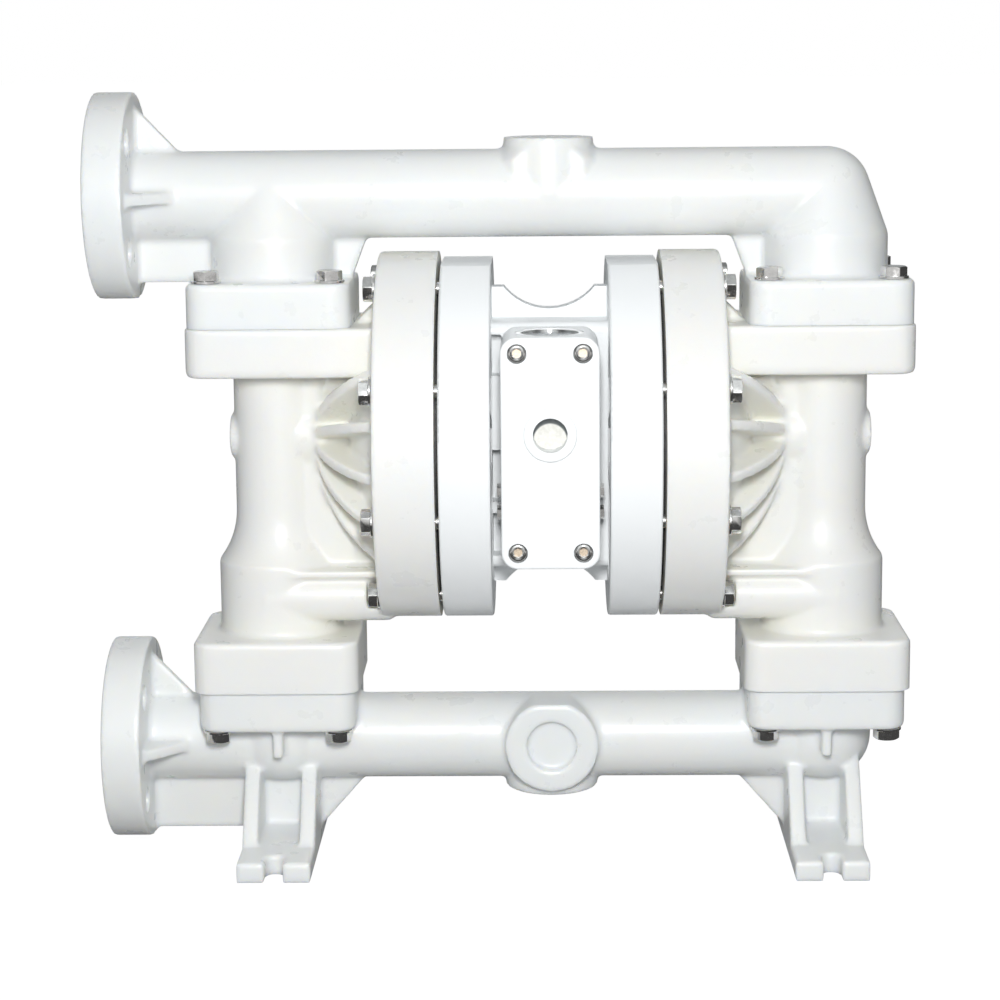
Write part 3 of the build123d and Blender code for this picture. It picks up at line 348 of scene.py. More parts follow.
# Moulded manifolds
def gusset(base, way, axis, middle):
    """Rib between the pipe and the port flange, standing out from the base line."""
    flange_x, tip_x, pipe_x = PORT_BACK_X - 3, PORT_BACK_X + 2, PORT_BACK_X + 25.5
    outline = [
        (flange_x, base),
        (flange_x, base + way * 48),
        (tip_x, base + way * 48),
        (pipe_x, base + way * 23),
        (pipe_x, base),
    ]
    return traced(outline, axis, middle - GUSSET_HALF, middle + GUSSET_HALF)


def pipe_and_port(axis_z):
    """Pipe run with its round port flange and the three gussets behind it."""
    middle = (0, 0, axis_z)
    pipe = turned([(PORT_BACK_X - 6, PIPE_RADIUS), (BRANCH_X, PIPE_RADIUS)], "X", middle)
    rim = [(PORT_FACE_X, PORT_FLANGE_RADIUS), (PORT_BACK_X, PORT_FLANGE_RADIUS)]
    flange = turned(rim, "X", middle)
    top = gusset(axis_z, 1, "Y", 0)
    sides = [gusset(0, way, "Z", axis_z) for way in (-1, 1)]
    return [pipe, flange, top, *sides]


def port_hollows(axis_z):
    """Stepped bore of the port and the four flange holes."""
    middle = (0, 0, axis_z)
    bore_end = PORT_FACE_X + PORT_BORE_DEPTH
    tools = [
        turned(
            [
                (PORT_FACE_X - 4, PORT_BORE_RADIUS + 5.5),
                (PORT_FACE_X + 1.5, PORT_BORE_RADIUS),
                (bore_end, PORT_BORE_RADIUS),
                (bore_end + 1, PASSAGE_RADIUS),
                (BRANCH_X - 10, PASSAGE_RADIUS),
            ],
            "X",
            middle,
        )
    ]
    for turn in (45, 135, 225, 315):
        y = PORT_BOLT_CIRCLE_RADIUS * math.cos(math.radians(turn))
        z = axis_z + PORT_BOLT_CIRCLE_RADIUS * math.sin(math.radians(turn))
        hole = [(PORT_FACE_X - 4, PORT_BOLT_RADIUS), (PORT_BACK_X + 4, PORT_BOLT_RADIUS)]
        tools.append(turned(hole, "X", (0, y, z), 40))
    return tools


def joint_flange(x, half, low, high, face_z, round_face=2.2, inner=None):
    """Square flange with round upright corners and one softened face.

    With inner, it runs on to that x and keeps its corners there square.
    """
    start = x - half if inner is None else inner
    plate = slab((start, x + half), (-half, half), (low, high))
    upright = runs_along("Z")

    def on_face(a, b):
        return abs(a.z - face_z) < 0.01 and abs(b.z - face_z) < 0.01

    eased(plate, 11, lambda a, b: upright(a, b) and (inner is None or a.x > x), 8)
    return eased(plate, round_face, on_face)


def discharge_branch(x):
    """Branch that narrows from its collar to the round top of the pipe."""
    drop = DISCHARGE_AXIS_Z - BRANCH_COLLAR_Z
    reach = math.hypot(BRANCH_RADIUS, drop)
    lean = math.atan2(-drop, BRANCH_RADIUS) + math.acos(PIPE_RADIUS / reach)
    outline = [
        (DISCHARGE_JOINT_Z - PAST_JOINT, BRANCH_RADIUS),
        (BRANCH_COLLAR_Z, BRANCH_RADIUS),
    ]
    for step in range(9):
        angle = lean + (math.radians(88) - lean) * step / 8
        outline.append(
            (DISCHARGE_AXIS_Z + PIPE_RADIUS * math.sin(angle), PIPE_RADIUS * math.cos(angle))
        )
    return turned(outline, "Z", (x, 0, 0))


def discharge_manifold():
    """Upper pipe with its branches, top boss and webs."""
    z = DISCHARGE_AXIS_Z
    low = DISCHARGE_JOINT_Z - PAST_JOINT
    forms = pipe_and_port(z)
    for x in (-BRANCH_X, BRANCH_X):
        forms.append(discharge_branch(x))
        forms.append(joint_flange(x, 45.5, low, DISCHARGE_FACE_Z, DISCHARGE_FACE_Z))
    flare = turned(
        [(z, TOP_BOSS_FLARE_RADIUS), (z + 19, TOP_BOSS_FLARE_RADIUS), (z + 26, TOP_BOSS_RADIUS)],
        "Z",
    )
    trimmed(flare, (0, -22.5, z), (0, -1, 0))
    forms.append(trimmed(flare, (0, 22.5, z), (0, 1, 0)))
    forms.append(turned([(z, TOP_BOSS_RADIUS), (z + 31, TOP_BOSS_RADIUS)], "Z"))
    forms.append(slab((PORT_BACK_X - 4, -BRANCH_X), (-WEB_HALF, WEB_HALF), (327.5, z)))
    for side in (-1, 1):
        outline = [
            (side * BRANCH_X, 327),
            (side * 111.5, 327),
            (side * 101.5, z - 22.5),
            (side * 101.5, z),
            (side * BRANCH_X, z),
        ]
        forms.append(traced(outline, "Y", -WEB_HALF, WEB_HALF))
    body = moulded("discharge_pipe", forms, port_hollows(z))
    trimmed(body, (0, 0, DISCHARGE_JOINT_Z), (0, 0, -1))
    under_limit(body)
    cage = [(DISCHARGE_JOINT_Z - 2, CAGE_RADIUS), (346, CAGE_RADIUS), (352, 13), (z - 5, 13)]
    cages = [turned(cage, "Z", (x, 0, 0), 48) for x in (-BRANCH_X, BRANCH_X)]
    return cut_out(body, cages)


def suction_branch(x):
    """Round elbow under the pipe and the joint flange over it."""
    z = SUCTION_AXIS_Z
    outline = [(z - PIPE_RADIUS, 4.5)]
    for step in range(1, 9):
        angle = math.radians(90 * step / 8)
        outline.append((z - PIPE_RADIUS * math.cos(angle), 4.5 + PIPE_RADIUS * math.sin(angle)))
    outline.append((97, 29))
    high = SUCTION_JOINT_Z + PAST_JOINT
    return [
        turned(outline, "Z", (x, 0, 0)),
        joint_flange(x, 44, SUCTION_FACE_Z, high, SUCTION_FACE_Z),
    ]


def foot(x):
    """Pad with two open slots, its two outer ribs and the webs between them."""
    z = SUCTION_AXIS_Z
    half = FOOT_HALF_WIDTH
    pad = slab((x - half, x + half), (-FOOT_REACH, FOOT_REACH), (0, FOOT_PAD_HEIGHT))
    slots = []
    for way in (-1, 1):
        middle = way * FOOT_SLOT_Y
        slot_end = [(-5, FOOT_SLOT_RADIUS), (16, FOOT_SLOT_RADIUS)]
        across = (x - FOOT_SLOT_RADIUS, x + FOOT_SLOT_RADIUS)
        slots.append(turned(slot_end, "Z", (x, middle, 0), 40))
        slots.append(slab(across, sorted((middle, way * 90)), (-5, 16)))
    for tool in slots:
        cut_out(pad, [tool])
    forms = [pad]
    outline = [(-51, 10), (-19, z - 7), (19, z - 7), (51, 10)]
    for rib_x in (x - half, x + half - FOOT_RIB):
        forms.append(traced(outline, "X", rib_x, rib_x + FOOT_RIB))
    forms.append(slab((x - 19, x + 19), (-WEB_HALF, WEB_HALF), (10, z)))
    forms.append(slab((x - 2.8, x + 2.8), (-40, 0), (60, 80)))
    return forms


def suction_manifold():
    """Lower pipe with its branches, feet, two bosses and webs."""
    z = SUCTION_AXIS_Z
    forms = pipe_and_port(z)
    for x in (-BRANCH_X, BRANCH_X):
        forms.extend(suction_branch(x))
        forms.extend(foot(x))
    forms.append(slab((PORT_BACK_X - 4, -BRANCH_X), (-WEB_HALF, WEB_HALF), (9.5, z)))
    for side in (-1, 1):
        outline = [
            (side * 137, 10.5),
            (side * 134, 10.5),
            (side * 107, z - 23),
            (side * 137, z - 23),
        ]
        forms.append(traced(outline, "Y", -WEB_HALF, WEB_HALF))
    boss = turned([(-31, LOW_BOSS_RADIUS), (0, LOW_BOSS_RADIUS)], "Y", (0, 0, z))
    trimmed(boss, (0, 0, z + PIPE_RADIUS), (0, 0, 1))
    forms.append(boss)
    forms.append(turned([(z - 30, LOW_BOSS_RADIUS), (z, LOW_BOSS_RADIUS)], "Z"))
    hollows = port_hollows(z)
    hollows.append(turned([(-36, 14.25), (-26, 14.25)], "Y", (0, 0, z), 64))
    body = moulded("suction_pipe", forms, hollows)
    under_limit(body)
    over = (SUCTION_JOINT_Z, SUCTION_JOINT_Z + 8)
    well = [(z + 5, 13), (90.5, 13), (90.5, SEAT_RADIUS), (SUCTION_JOINT_Z + 2, SEAT_RADIUS)]
    for x in (-BRANCH_X, BRANCH_X):
        cut_out(body, [slab((x - 48, x + 48), (-48, 48), over)])
        cut_out(body, [turned(well, "Z", (x, 0, 0), 48)])
    return body


# Moulded fluid cap, right-hand side
def dome_wall():
    """Half-egg of the chamber wall from the ring to the hub, drawn as a quadratic curve."""
    outline = [(74, 85), (79, 85)]
    start, bend, end = (72, 85), (101, 72), (111, 30)
    for step in range(1, 11):
        t = step / 10
        along = (1 - t) ** 2 * start[0] + 2 * t * (1 - t) * bend[0] + t * t * end[0]
        out = (1 - t) ** 2 * start[1] + 2 * t * (1 - t) * bend[1] + t * t * end[1]
        if along > 79.5:
            outline.append((along, out))
    return turned(outline, "X", (0, 0, PUMP_AXIS_Z))


def dome_ribs():
    """Sixteen ribs round the hub, their outer edges on one ball."""
    plates = []
    for turn in range(8):
        plate = slab((91, 142), (-RIB_HALF, RIB_HALF), (-98, 98))
        plate.rotation_euler.x = math.radians(11.25 + 22.5 * turn)
        plate.location.z = PUMP_AXIS_Z * MM
        pick(plate)
        bpy.ops.object.transform_apply(location=True, rotation=True, scale=True)
        plates.append(plate)
    let_go()
    bpy.ops.mesh.primitive_uv_sphere_add(
        segments=128,
        ring_count=64,
        radius=RIB_BALL_RADIUS * MM,
        location=place(RIB_BALL_X, 0, PUMP_AXIS_Z),
    )
    ball = bpy.context.object
    for plate in plates:
        finish_with(plate, "BOOLEAN", operation="INTERSECT", object=ball, solver="EXACT")
    bpy.data.objects.remove(ball)
    return plates


def column():
    """Upright pipe with its flare into the ball cage neck."""
    outline = [(SUCTION_JOINT_Z - PAST_JOINT, NECK_RADIUS)]
    drop = math.sqrt(NECK_FLARE**2 - (NECK_FLARE - (NECK_RADIUS - COLUMN_RADIUS)) ** 2)
    for step in range(9):
        angle = math.asin(drop / NECK_FLARE) * (1 - step / 8)
        height = NECK_FLARE_Z - NECK_FLARE * math.sin(angle)
        outline.append((height, COLUMN_RADIUS + NECK_FLARE * (1 - math.cos(angle))))
    outline.append((300, COLUMN_RADIUS))
    return turned(outline, "Z", (BRANCH_X, 0, 0))


def duct():
    """Flat suction duct with round edges, a ledge on it, and the web up to the top flange."""
    tube = slab((90, BRANCH_X + 6), (-34.7, 34.7), (136.5, 164.5))
    eased(tube, 13.8, runs_along("X"), 8)
    ledge = slab((90, BRANCH_X + 4), (-34.2, 34.2), (163.5, 167.3))
    web = slab((85, BRANCH_X), (-18.5, 18.5), (160, 279))
    return [tube, ledge, web]


def fluid_cap():
    """Ring, ribbed dome, hub, column, duct and two joint flanges as one hollow moulding."""
    middle = (0, 0, PUMP_AXIS_Z)
    ring = turned([(59, RING_RADIUS), (RING_FACE_X, RING_RADIUS)], "X", middle, 160)
    eased(ring, 1.6, lambda a, b: a.x > 95 and b.x > 95)
    forms = [ring, dome_wall(), *dome_ribs(), column()]
    forms.append(turned([(104, 22), (142, 22)], "X", middle))
    forms.append(turned([(BRANCH_X, 12), (BRANCH_X + 26.2, 12)], "X", middle, 48))
    forms.extend(duct())
    # The top flange ends a hair over its joint plane, so that no gap shows there
    top, low = DISCHARGE_JOINT_Z + 0.01, SUCTION_JOINT_Z - PAST_JOINT
    forms.append(joint_flange(BRANCH_X, 46.5, CAP_TOP_FACE_Z, top, CAP_TOP_FACE_Z, 3, 90))
    forms.append(joint_flange(BRANCH_X, 46.5, low, CAP_LOW_FACE_Z, CAP_LOW_FACE_Z))
    pocket = [(RING_FACE_X, 9), (103.4, 9)]
    hollows = [turned(pocket, "X", (0, y, z), 40) for y, z in ring_spots()]
    body = moulded("right_liquid_cap", forms, hollows)
    trimmed(body, (RING_BACK_X, 0, 0), (-1, 0, 0))
    trimmed(body, (0, 0, SUCTION_JOINT_Z), (0, 0, -1))
    under_limit(body, CAP_TRIANGLES)
    for core in chamber_cores():
        cut_out(body, [core])
    return body


def chamber_cores():
    """Hollow of the pumping chamber, its passages and the suction ball cage."""
    middle, branch = (0, 0, PUMP_AXIS_Z), (BRANCH_X, 0, 0)
    chamber = [(60, 78), (72, 78), (83, 73), (92, 64), (98.5, 54), (102.5, 42), (104, 30)]
    rise = [(227, 15), (296, 15), (296, SEAT_RADIUS), (DISCHARGE_JOINT_Z + 2, SEAT_RADIUS)]
    cage = [(SUCTION_JOINT_Z - 2, CAGE_RADIUS), (140.5, CAGE_RADIUS)]
    return [
        turned(chamber, "X", middle, 64),
        turned([(100, 13), (BRANCH_X, 13)], "X", middle, 40),
        turned(rise, "Z", branch, 48),
        turned(cage, "Z", branch, 48),
        slab((80, BRANCH_X), (-19, 19), (143.5, 160)),
        turned([(139, 15), (152, 15)], "Z", branch, 48),
    ]


def ring_spots():
    """Places of the eight ring bolts round the pump axis."""
    spots = []
    for step in range(8):
        angle = math.radians(22.5 + 45 * step)
        spots.append(
            (RING_BOLT_RADIUS * math.cos(angle), PUMP_AXIS_Z + RING_BOLT_RADIUS * math.sin(angle))
        )
    return spots


# Fasteners
def hex_head(spot, axis, way, shank):
    """Hex bolt on its washer, which sits at the spot. The head points along the axis."""
    along = AXES[axis] * way
    centre = Vector(spot)
    here = centre.dot(AXES[axis])

    def profile(*pairs):
        return [(here + way * height, radius) for height, radius in pairs]

    disc = profile((0, 7.9), (0.3, 8.3), (1.3, 8.3), (WASHER, 8.0))
    washer = turned(disc, axis, spot, 40)
    let_go()
    middle = centre + along * (WASHER + HEAD_HEIGHT / 2)
    bpy.ops.mesh.primitive_cylinder_add(
        vertices=6,
        radius=HEX_FLATS / 2 / math.cos(math.pi / 6) * MM,
        depth=HEAD_HEIGHT * MM,
        location=middle * MM,
        rotation=TURNS[axis],
    )
    head = bpy.context.object
    bpy.ops.object.transform_apply(location=True, rotation=True, scale=True)
    eased(head, 0.35, runs_along(axis), 2)
    crown = turned(profile((1.5, 8.2), (5.9, 8.2), (7.0, 6.1)), axis, spot, 40)
    finish_with(head, "BOOLEAN", operation="INTERSECT", object=crown, solver="EXACT")
    bpy.data.objects.remove(crown)
    rod = turned(profile((2, 4), (WASHER - shank, 4)), axis, spot, 24)
    return [washer, head, rod]


def bolt_set(name, spots, axis, way, shank):
    """One bolt is modelled and copied to the other places, each turned by its own angle."""
    first = joined(name, hex_head(spots[0], axis, way, shank))
    copies = [first]
    for spot in spots[1:]:
        pick(first)
        bpy.ops.object.duplicate()
        copy = bpy.context.object
        centre = Matrix.Translation(place(*spots[0]))
        spin = Matrix.Rotation(math.radians(BOLT_TURN * len(copies)), 4, AXES[axis])
        copy.data.transform(Matrix.Translation(place(*spot)) @ spin @ centre.inverted())
        copies.append(copy)
    return smooth_faces(joined(name, copies), 30)


def valve_screw(x, z):
    """Socket head screw of the valve cover: chamfered rim, hexagon with a countersunk mouth."""
    head = turned([(-88, 4.9), (-92.9, 4.9), (-93.7, 4.5), (-94, 3.95)], "Y", (x, 0, z), 48)
    let_go()
    bpy.ops.mesh.primitive_cylinder_add(
        vertices=6,
        radius=2.887 * MM,
        depth=6 * MM,
        location=place(x, -94, z),
        rotation=TURNS["Y"],
    )
    socket = bpy.context.object
    bpy.ops.object.transform_apply(location=True, rotation=True, scale=True)
    cut_out(head, [turned([(-94.6, 4.2), (-93.0, 2.4)], "Y", (x, 0, z), 48)])
    cut_out(head, [socket])
    return [head, turned([(-89, 2.9), (-24, 2.9)], "Y", (x, 0, z), 32)]


def joint_spots(z):
    """Places of the eight joint bolts of one manifold."""
    offsets = (-JOINT_BOLT_OFFSET, JOINT_BOLT_OFFSET)
    return [
        (side * BRANCH_X + dx, dy, z) for side in (-1, 1) for dx in offsets for dy in offsets
    ]


# Finishes
def blank_finish(name):
    """A new node material with its tree and shader."""
    material = bpy.data.materials.new(name)
    material.use_nodes = True
    return material, material.node_tree, material.node_tree.nodes["Principled BSDF"]


def add_node(tree, kind, **values):
    """A new node with its sockets or settings given by name."""
    node = tree.nodes.new(kind)
    for key, value in values.items():
        if hasattr(node, key):
            setattr(node, key, value)
        else:
            node.inputs[key.replace("_", " ")].default_value = value
    return node


def connect(tree, value, socket):
    """Link an output to the socket, or set the socket to a plain value."""
    if isinstance(value, bpy.types.NodeSocket):
        tree.links.new(value, socket)
    else:
        socket.default_value = value


def mixed_colour(tree, share, first, second, blend="MIX"):
    """Mix of two colours by a share. The Mix node's colours are its inputs 6 and 7."""
    mix = add_node(tree, "ShaderNodeMix", data_type="RGBA", blend_type=blend)
    connect(tree, share, mix.inputs["Factor"])
    connect(tree, first, mix.inputs[6])
    connect(tree, second, mix.inputs[7])
    return mix.outputs[2]


def mixed_shader(tree, share, first, second):
    """Mix of two shaders by a share."""
    mix = add_node(tree, "ShaderNodeMixShader")
    connect(tree, share, mix.inputs["Fac"])
    tree.links.new(first, mix.inputs[1])
    tree.links.new(second, mix.inputs[2])
    return mix.outputs["Shader"]


def grain(tree, scale, detail=4.0, rough=0.55):
    """Cloudy pattern on the object's own coordinates."""
    where = add_node(tree, "ShaderNodeTexCoord")
    clouds = add_node(tree, "ShaderNodeTexNoise", Scale=scale, Detail=detail, Roughness=rough)
    tree.links.new(where.outputs["Object"], clouds.inputs["Vector"])
    return clouds.outputs["Fac"]


def spread(tree, value, low, high, start=0.35, end=0.65):
    """A pattern's value stretched between two numbers."""
    node = add_node(tree, "ShaderNodeMapRange")
    node.inputs["From Min"].default_value = start
    node.inputs["From Max"].default_value = end
    node.inputs["To Min"].default_value = low
    node.inputs["To Max"].default_value = high
    tree.links.new(value, node.inputs["Value"])
    return node.outputs["Result"]


def two_tone(tree, value, first, second):
    """Colour that runs from the first to the second with the value."""
    ramp = add_node(tree, "ShaderNodeValToRGB")
    ramp.color_ramp.elements[0].color = (*first, 1)
    ramp.color_ramp.elements[1].color = (*second, 1)
    tree.links.new(value, ramp.inputs["Fac"])
    return ramp.outputs["Color"]


def relief(tree, shader, value, height, strength):
    """Fine bump of a pattern, with its height in millimetres."""
    bump = add_node(tree, "ShaderNodeBump", Strength=strength, Distance=height * MM)
    tree.links.new(value, bump.inputs["Height"])
    tree.links.new(bump.outputs["Normal"], shader.inputs["Normal"])


def natural_plastic(name, cool, warm, painted_fold_tint):
    """Unpigmented moulded plastic: milky and cloudy, with a painted tint in its folds, where
    ambient occlusion finds them, standing in for the shade and bounced light there.
    """
    material, tree, shader = blank_finish(name)
    cloud = spread(tree, grain(tree, 14, 3), 0, 1, 0.3, 0.7)
    colour = two_tone(tree, cloud, cool, warm)
    # Painted shade: where ambient occlusion finds a fold, the colour turns to the painted fold
    # tint.
    depth = add_node(tree, "ShaderNodeAmbientOcclusion", samples=6)
    depth.inputs["Distance"].default_value = 22 * MM
    painted_shade_share = spread(tree, depth.outputs["AO"], 1, 0, 0.35, 0.95)
    tone = mixed_colour(tree, painted_shade_share, colour, (*painted_fold_tint, 1))
    tree.links.new(tone, shader.inputs["Base Color"])
    tree.links.new(spread(tree, grain(tree, 60, 5), 0.27, 0.42), shader.inputs["Roughness"])
    shader.inputs["Subsurface Weight"].default_value = 0.5
    shader.inputs["Subsurface Radius"].default_value = (1.0, 0.85, 0.6)
    shader.inputs["Subsurface Scale"].default_value = 0.005
    shader.inputs["IOR"].default_value = 1.49
    relief(tree, shader, grain(tree, 260, 2), 0.12, 0.5)
    return material


def white_coating():
    """White sprayed coating over cast aluminium, with a faint orange-peel skin."""
    material, tree, shader = blank_finish("white_coating")
    cloud = spread(tree, grain(tree, 22, 4), 0, 1, 0.3, 0.7)
    tone = two_tone(tree, cloud, (0.865, 0.885, 0.895), (0.845, 0.865, 0.875))
    tree.links.new(tone, shader.inputs["Base Color"])
    tree.links.new(spread(tree, grain(tree, 90, 4), 0.32, 0.46), shader.inputs["Roughness"])
    shader.inputs["IOR"].default_value = 1.5
    relief(tree, shader, grain(tree, 700, 3), 0.1, 0.45)
    return material


def metal_finish(name, light, dark, low, high, scale=300):
    """Bare metal with fine streaks and worn patches."""
    material, tree, shader = blank_finish(name)
    patch = grain(tree, scale, 6, 0.65)
    tone = two_tone(tree, spread(tree, patch, 0, 1), dark, light)
    tree.links.new(tone, shader.inputs["Base Color"])
    shader.inputs["Metallic"].default_value = 1.0
    rough = spread(tree, grain(tree, scale * 2.3, 4), low, high)
    tree.links.new(rough, shader.inputs["Roughness"])
    relief(tree, shader, grain(tree, scale * 4, 3), 0.03, 0.5)
    return material


def soft_finish(name, light, dark, roughness):
    """Rubber or fluoropolymer with a faint bloom."""
    material, tree, shader = blank_finish(name)
    patch = spread(tree, grain(tree, 120, 5), 0, 1)
    tree.links.new(two_tone(tree, patch, dark, light), shader.inputs["Base Color"])
    rough = spread(tree, grain(tree, 300, 4), roughness - 0.08, roughness + 0.08)
    tree.links.new(rough, shader.inputs["Roughness"])
    relief(tree, shader, grain(tree, 900, 3), 0.05, 0.4)
    return material


def shaded_screen():
    """Sintered inlet screen, dark at the top, where the bore's rim shades it."""
    material, tree, shader = blank_finish("sintered_screen")
    where = add_node(tree, "ShaderNodeTexCoord")
    flat = add_node(tree, "ShaderNodeVectorMath", operation="MULTIPLY")
    tree.links.new(where.outputs["Object"], flat.inputs[0])
    flat.inputs[1].default_value = (1, 0, 1)
    away = add_node(tree, "ShaderNodeVectorMath", operation="DISTANCE")
    tree.links.new(flat.outputs[0], away.inputs[0])
    away.inputs[1].default_value = place(0, 0, SCREEN_SHADE_Z)
    edge = spread(tree, away.outputs["Value"], 0, 1, 0.0086, 0.0093)
    patch = spread(tree, grain(tree, 500, 4), 0, 1)
    lit = two_tone(tree, patch, (0.72, 0.71, 0.66), (0.82, 0.81, 0.77))
    tone = mixed_colour(tree, edge, lit, (0.17, 0.185, 0.19, 1))
    tree.links.new(tone, shader.inputs["Base Color"])
    shader.inputs["Roughness"].default_value = 0.75
    relief(tree, shader, grain(tree, 1500, 2), 0.06, 0.4)
    return material


def dress(form, material):
    """Give the form one material."""
    form.data.materials.clear()
    form.data.materials.append(material)


# Stage
def set_camera():
    """The photo's camera, from the least-squares fit to its edges."""
    yaw, pitch, roll = math.radians(-1.0), math.radians(9.88), math.radians(-0.52)
    level = math.cos(pitch)
    ahead = Vector((math.sin(yaw) * level, math.cos(yaw) * level, -math.sin(pitch)))
    right = Vector((math.cos(yaw), -math.sin(yaw), 0))
    up = right.cross(ahead)
    side = right * math.cos(roll) + up * math.sin(roll)
    over = up * math.cos(roll) - right * math.sin(roll)
    eye = bpy.data.cameras.new("photo_camera")
    eye.lens = 94.96
    eye.sensor_width = 36
    camera = bpy.data.objects.new("photo_camera", eye)
    bpy.context.scene.collection.objects.link(camera)
    turn = Matrix((side, over, -ahead)).transposed().to_4x4()
    camera.matrix_world = Matrix.Translation(place(-2.81, -1483.81, 459.9)) @ turn
    bpy.context.scene.camera = camera


def set_lamp(name, kind, direction, strength, spot=(0, 0, 0), **settings):
    """A lamp that the camera doesn't see. Only an area lamp shows in a gloss."""
    lamp = bpy.data.lights.new(name, kind)
    lamp.energy = strength
    for key, value in settings.items():
        setattr(lamp, key, value)
    holder = bpy.data.objects.new(name, lamp)
    holder.location = place(*spot)
    holder.rotation_mode = "QUATERNION"
    holder.rotation_quaternion = Vector(direction).to_track_quat("-Z", "Y")
    holder.visible_camera = False
    holder.visible_glossy = kind == "AREA"
    bpy.context.scene.collection.objects.link(holder)


def set_sun(name, direction, strength, softness):
    """A sun with its softness in degrees."""
    set_lamp(name, "SUN", direction, strength, angle=math.radians(softness))


def beyond(tree, vector, low, high):
    """How far the world's direction lies along a vector, as a soft step."""
    where = add_node(tree, "ShaderNodeTexCoord")
    dot = add_node(tree, "ShaderNodeVectorMath", operation="DOT_PRODUCT")
    tree.links.new(where.outputs["Generated"], dot.inputs[0])
    dot.inputs[1].default_value = Vector(vector).normalized()
    return spread(tree, dot.outputs["Value"], 0, 1, low, high)


def added(tree, parts, start):
    """Sum of (value, share) pairs on top of a start value."""
    total = None
    for value, share in parts:
        sum_up = add_node(tree, "ShaderNodeMath", operation="MULTIPLY_ADD")
        tree.links.new(value, sum_up.inputs[0])
        sum_up.inputs[1].default_value = share
        if total is None:
            sum_up.inputs[2].default_value = start
        else:
            tree.links.new(total, sum_up.inputs[2])
        total = sum_up.outputs[0]
    return total


def set_world():
    """Dim studio, lighter in front, with dark sides. White paper to the camera."""
    world = bpy.data.worlds.new("studio")
    world.use_nodes = True
    tree = world.node_tree
    rays = add_node(tree, "ShaderNodeLightPath")
    front = add_node(tree, "ShaderNodeMath", operation="POWER")
    tree.links.new(beyond(tree, (0, -1, 0), 0, 1), front.inputs[0])
    front.inputs[1].default_value = 2
    room = added(tree, [(front.outputs[0], 0.5)], 0.10)
    gloss_parts = [
        (beyond(tree, (0, -1, 0.42), 0.78, 0.90), 0.9),
        (beyond(tree, (0, 1, 0.25), 0.80, 0.95), 0.35),
        (beyond(tree, (0, 0, 1), 0.70, 0.92), 0.45),
    ]
    gloss = added(tree, gloss_parts, 0.10)
    seen = add_node(tree, "ShaderNodeMix", data_type="FLOAT")
    tree.links.new(rays.outputs["Is Glossy Ray"], seen.inputs["Factor"])
    tree.links.new(room, seen.inputs[2])
    tree.links.new(gloss, seen.inputs[3])
    light = mixed_colour(tree, 1, seen.outputs[0], (0.94, 0.985, 1, 1), "MULTIPLY")
    last = mixed_colour(tree, rays.outputs["Is Camera Ray"], light, (1, 1, 1, 1))
    tree.links.new(last, tree.nodes["Background"].inputs["Color"])
    bpy.context.scene.world = world


def set_floor():
    """White paper to the camera. It throws light up. To glossy rays it glows instead, a painted
    reflection that is dark near the pump and lighter further out in front.
    """
    let_go()
    bpy.ops.mesh.primitive_plane_add(size=60)
    floor = bpy.context.object
    floor.name = "floor"
    material = bpy.data.materials.new("floor_paper")
    material.use_nodes = True
    tree = material.node_tree
    paper = tree.nodes["Principled BSDF"]
    paper.inputs["Base Color"].default_value = (0.9, 0.9, 0.9, 1)
    paper.inputs["Roughness"].default_value = 0.9
    glow = add_node(tree, "ShaderNodeEmission", Strength=1.09)
    seen = mixed_shader(tree, 0.12, glow.outputs["Emission"], paper.outputs["BSDF"])
    dull = add_node(tree, "ShaderNodeBsdfDiffuse")
    dull.inputs["Color"].default_value = (0.5, 0.5, 0.5, 1)
    where = add_node(tree, "ShaderNodeTexCoord")
    apart = add_node(tree, "ShaderNodeSeparateXYZ")
    tree.links.new(where.outputs["Object"], apart.inputs["Vector"])
    # Painted reflection: glossy rays see a glow, dim near the pump and brighter further out in
    # front.
    painted_gloss_glow = add_node(tree, "ShaderNodeEmission")
    painted_gloss_fade = spread(tree, apart.outputs["Y"], 0.7, 0.07, -1.7, -0.7)
    tree.links.new(painted_gloss_fade, painted_gloss_glow.inputs["Strength"])
    rays = add_node(tree, "ShaderNodeLightPath")
    gloss = mixed_shader(
        tree, rays.outputs["Is Glossy Ray"], dull.outputs["BSDF"], painted_gloss_glow.outputs["Emission"]
    )
    last = mixed_shader(tree, rays.outputs["Is Camera Ray"], gloss, seen)
    tree.links.new(last, tree.nodes["Material Output"].inputs["Surface"])
    dress(floor, material)


set_camera()
# The last colour of each plastic is its painted fold tint, which stands in for the shade and
# bounced light in its folds.
cap_plastic = natural_plastic(
    "cap_plastic", (0.815, 0.825, 0.82), (0.83, 0.825, 0.80), (0.85, 0.845, 0.785)
)
pipe_plastic = natural_plastic(
    "pipe_plastic", (0.80, 0.825, 0.83), (0.82, 0.825, 0.81), (0.825, 0.84, 0.845)
)
coating = white_coating()
stainless = metal_finish("stainless_steel", (0.80, 0.79, 0.77), (0.62, 0.61, 0.60), 0.08, 0.2, 160)
aluminium = metal_finish(
    "machined_aluminium", (0.80, 0.81, 0.82), (0.62, 0.63, 0.65), 0.2, 0.4, 180
)
# Painted reflection: the warm tan colour on the screw socket floors stands in for a warm reflection
# in the sockets.
painted_socket_reflection = metal_finish("socket_painted_reflection", (0.78, 0.66, 0.52), (0.52, 0.42, 0.32), 0.4, 0.55, 900)
sintered = shaded_screen()
bronze = metal_finish("bearing_bronze", (0.70, 0.52, 0.28), (0.50, 0.36, 0.18), 0.25, 0.45)
elastomer = soft_finish("elastomer", (0.055, 0.055, 0.055), (0.025, 0.025, 0.027), 0.6)
fluoropolymer = soft_finish("fluoropolymer", (0.86, 0.86, 0.84), (0.80, 0.80, 0.78), 0.4)

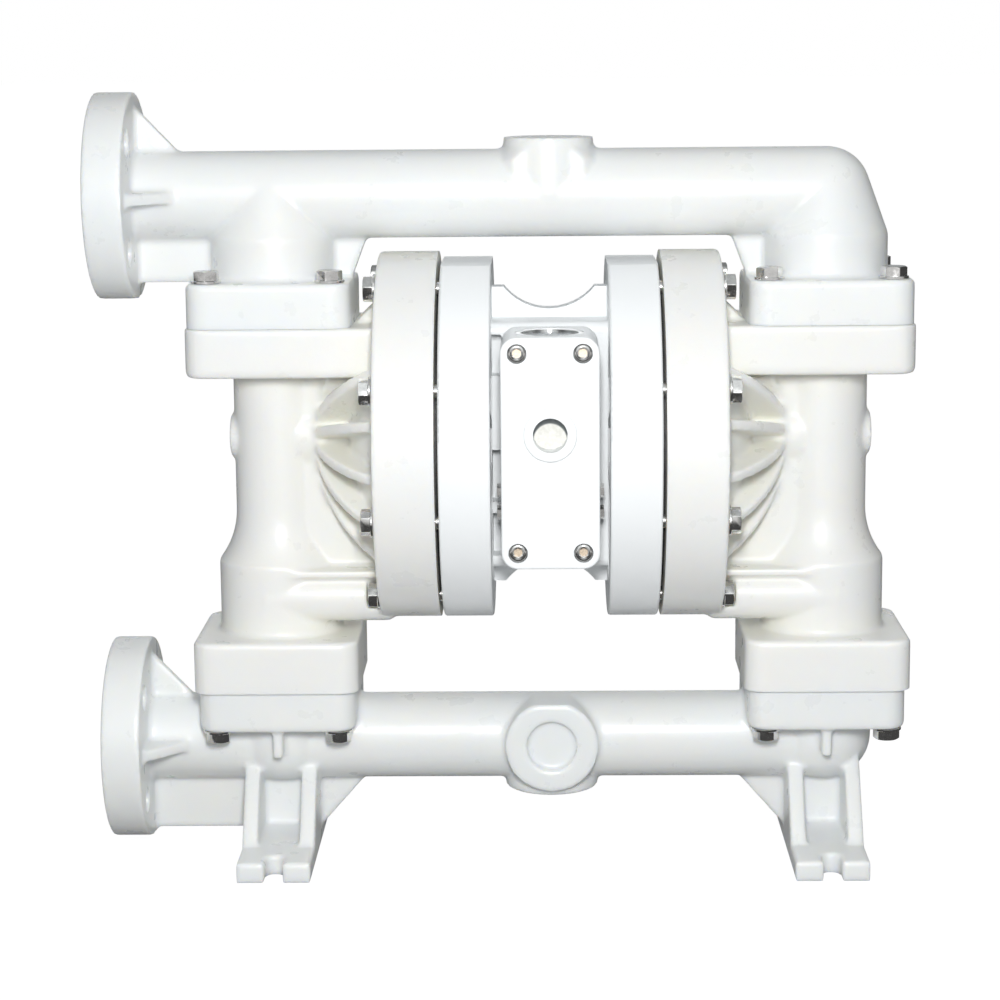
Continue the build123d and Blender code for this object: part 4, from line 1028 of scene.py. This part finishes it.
upper = discharge_manifold()
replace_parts(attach(upper, "casing"), "discharge_manifold")
lower = suction_manifold()
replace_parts(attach(lower, "casing"), "suction_manifold")
right_cap = fluid_cap()
left_cap = mirrored(right_cap, "left_liquid_cap")
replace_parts(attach(right_cap, "casing"), "right_fluid_cap")
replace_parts(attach(left_cap, "casing"), "left_fluid_cap")
mouldings = (
    (upper, pipe_plastic),
    (lower, pipe_plastic),
    (right_cap, cap_plastic),
    (left_cap, cap_plastic),
)
for form, material in mouldings:
    smooth_faces(form)
    dress(form, material)

top_bolts = bolt_set("top_joint_bolts", joint_spots(DISCHARGE_FACE_Z), "Z", 1, JOINT_BOLT_LENGTH)
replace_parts(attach(top_bolts, "casing"), "discharge_bolts", "discharge_washers")
low_bolts = bolt_set("low_joint_bolts", joint_spots(SUCTION_FACE_Z), "Z", -1, JOINT_BOLT_LENGTH)
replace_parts(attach(low_bolts, "casing"), "suction_bolts", "suction_washers")
right_spots = [(RING_FACE_X, y, z) for y, z in ring_spots()]
left_spots = [(-RING_FACE_X, y, z) for y, z in ring_spots()]
right_bolts = bolt_set("right_clamp_bolts", right_spots, "X", 1, RING_BOLT_LENGTH)
left_bolts = bolt_set("left_clamp_bolts", left_spots, "X", -1, RING_BOLT_LENGTH)
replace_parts(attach(right_bolts, "casing"), "right_ring_bolts")
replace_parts(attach(left_bolts, "casing"), "left_ring_bolts", "ring_washers")
cover_spots = [(x, z) for x in (-COVER_SCREW_X, COVER_SCREW_X) for z in COVER_SCREW_Z]
cover_screws = joined("cover_screws", [form for spot in cover_spots for form in valve_screw(*spot)])
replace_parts(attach(smooth_faces(cover_screws, 30), "casing"), "valve_screws")
for form in (top_bolts, low_bolts, right_bolts, left_bolts, cover_screws):
    dress(form, stainless)
floor_disc = [(-91.1, 2.3), (-90.6, 2.3)]
socket_floors = joined(
    "socket_floors", [turned(floor_disc, "Y", (x, 0, z), 24) for x, z in cover_spots]
)
screen = turned([(-82.75, 9.25), (-83.5, 9.25)], "Y", (0, 0, INLET_Z), 64)
screen.name = "inlet_screen"
for form, material in ((socket_floors, painted_socket_reflection), (screen, sintered)):
    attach(form, "casing")
    dress(form, material)

SLOT_FINISHES = {
    "natural_plastic": cap_plastic,
    "coated_casting": coating,
    "stainless": stainless,
    "machined_aluminium": aluminium,
    "fluoropolymer": fluoropolymer,
    "elastomer": elastomer,
    "bronze": bronze,
}
for entry in frame["record"]["subparts"]:
    dress(frame["nodes"][entry["node"]], SLOT_FINISHES[entry["material_slot"]])

set_floor()
set_world()
set_lamp(
    "key",
    "AREA",
    KEY_DIRECTION,
    KEY_STRENGTH,
    KEY_PLACE,
    shape="RECTANGLE",
    size=KEY_SIZE[0],
    size_y=KEY_SIZE[1],
)
for sun_name, sun in SUNS.items():
    set_sun(sun_name, *sun)
bpy.context.scene.view_settings.view_transform = "Standard"
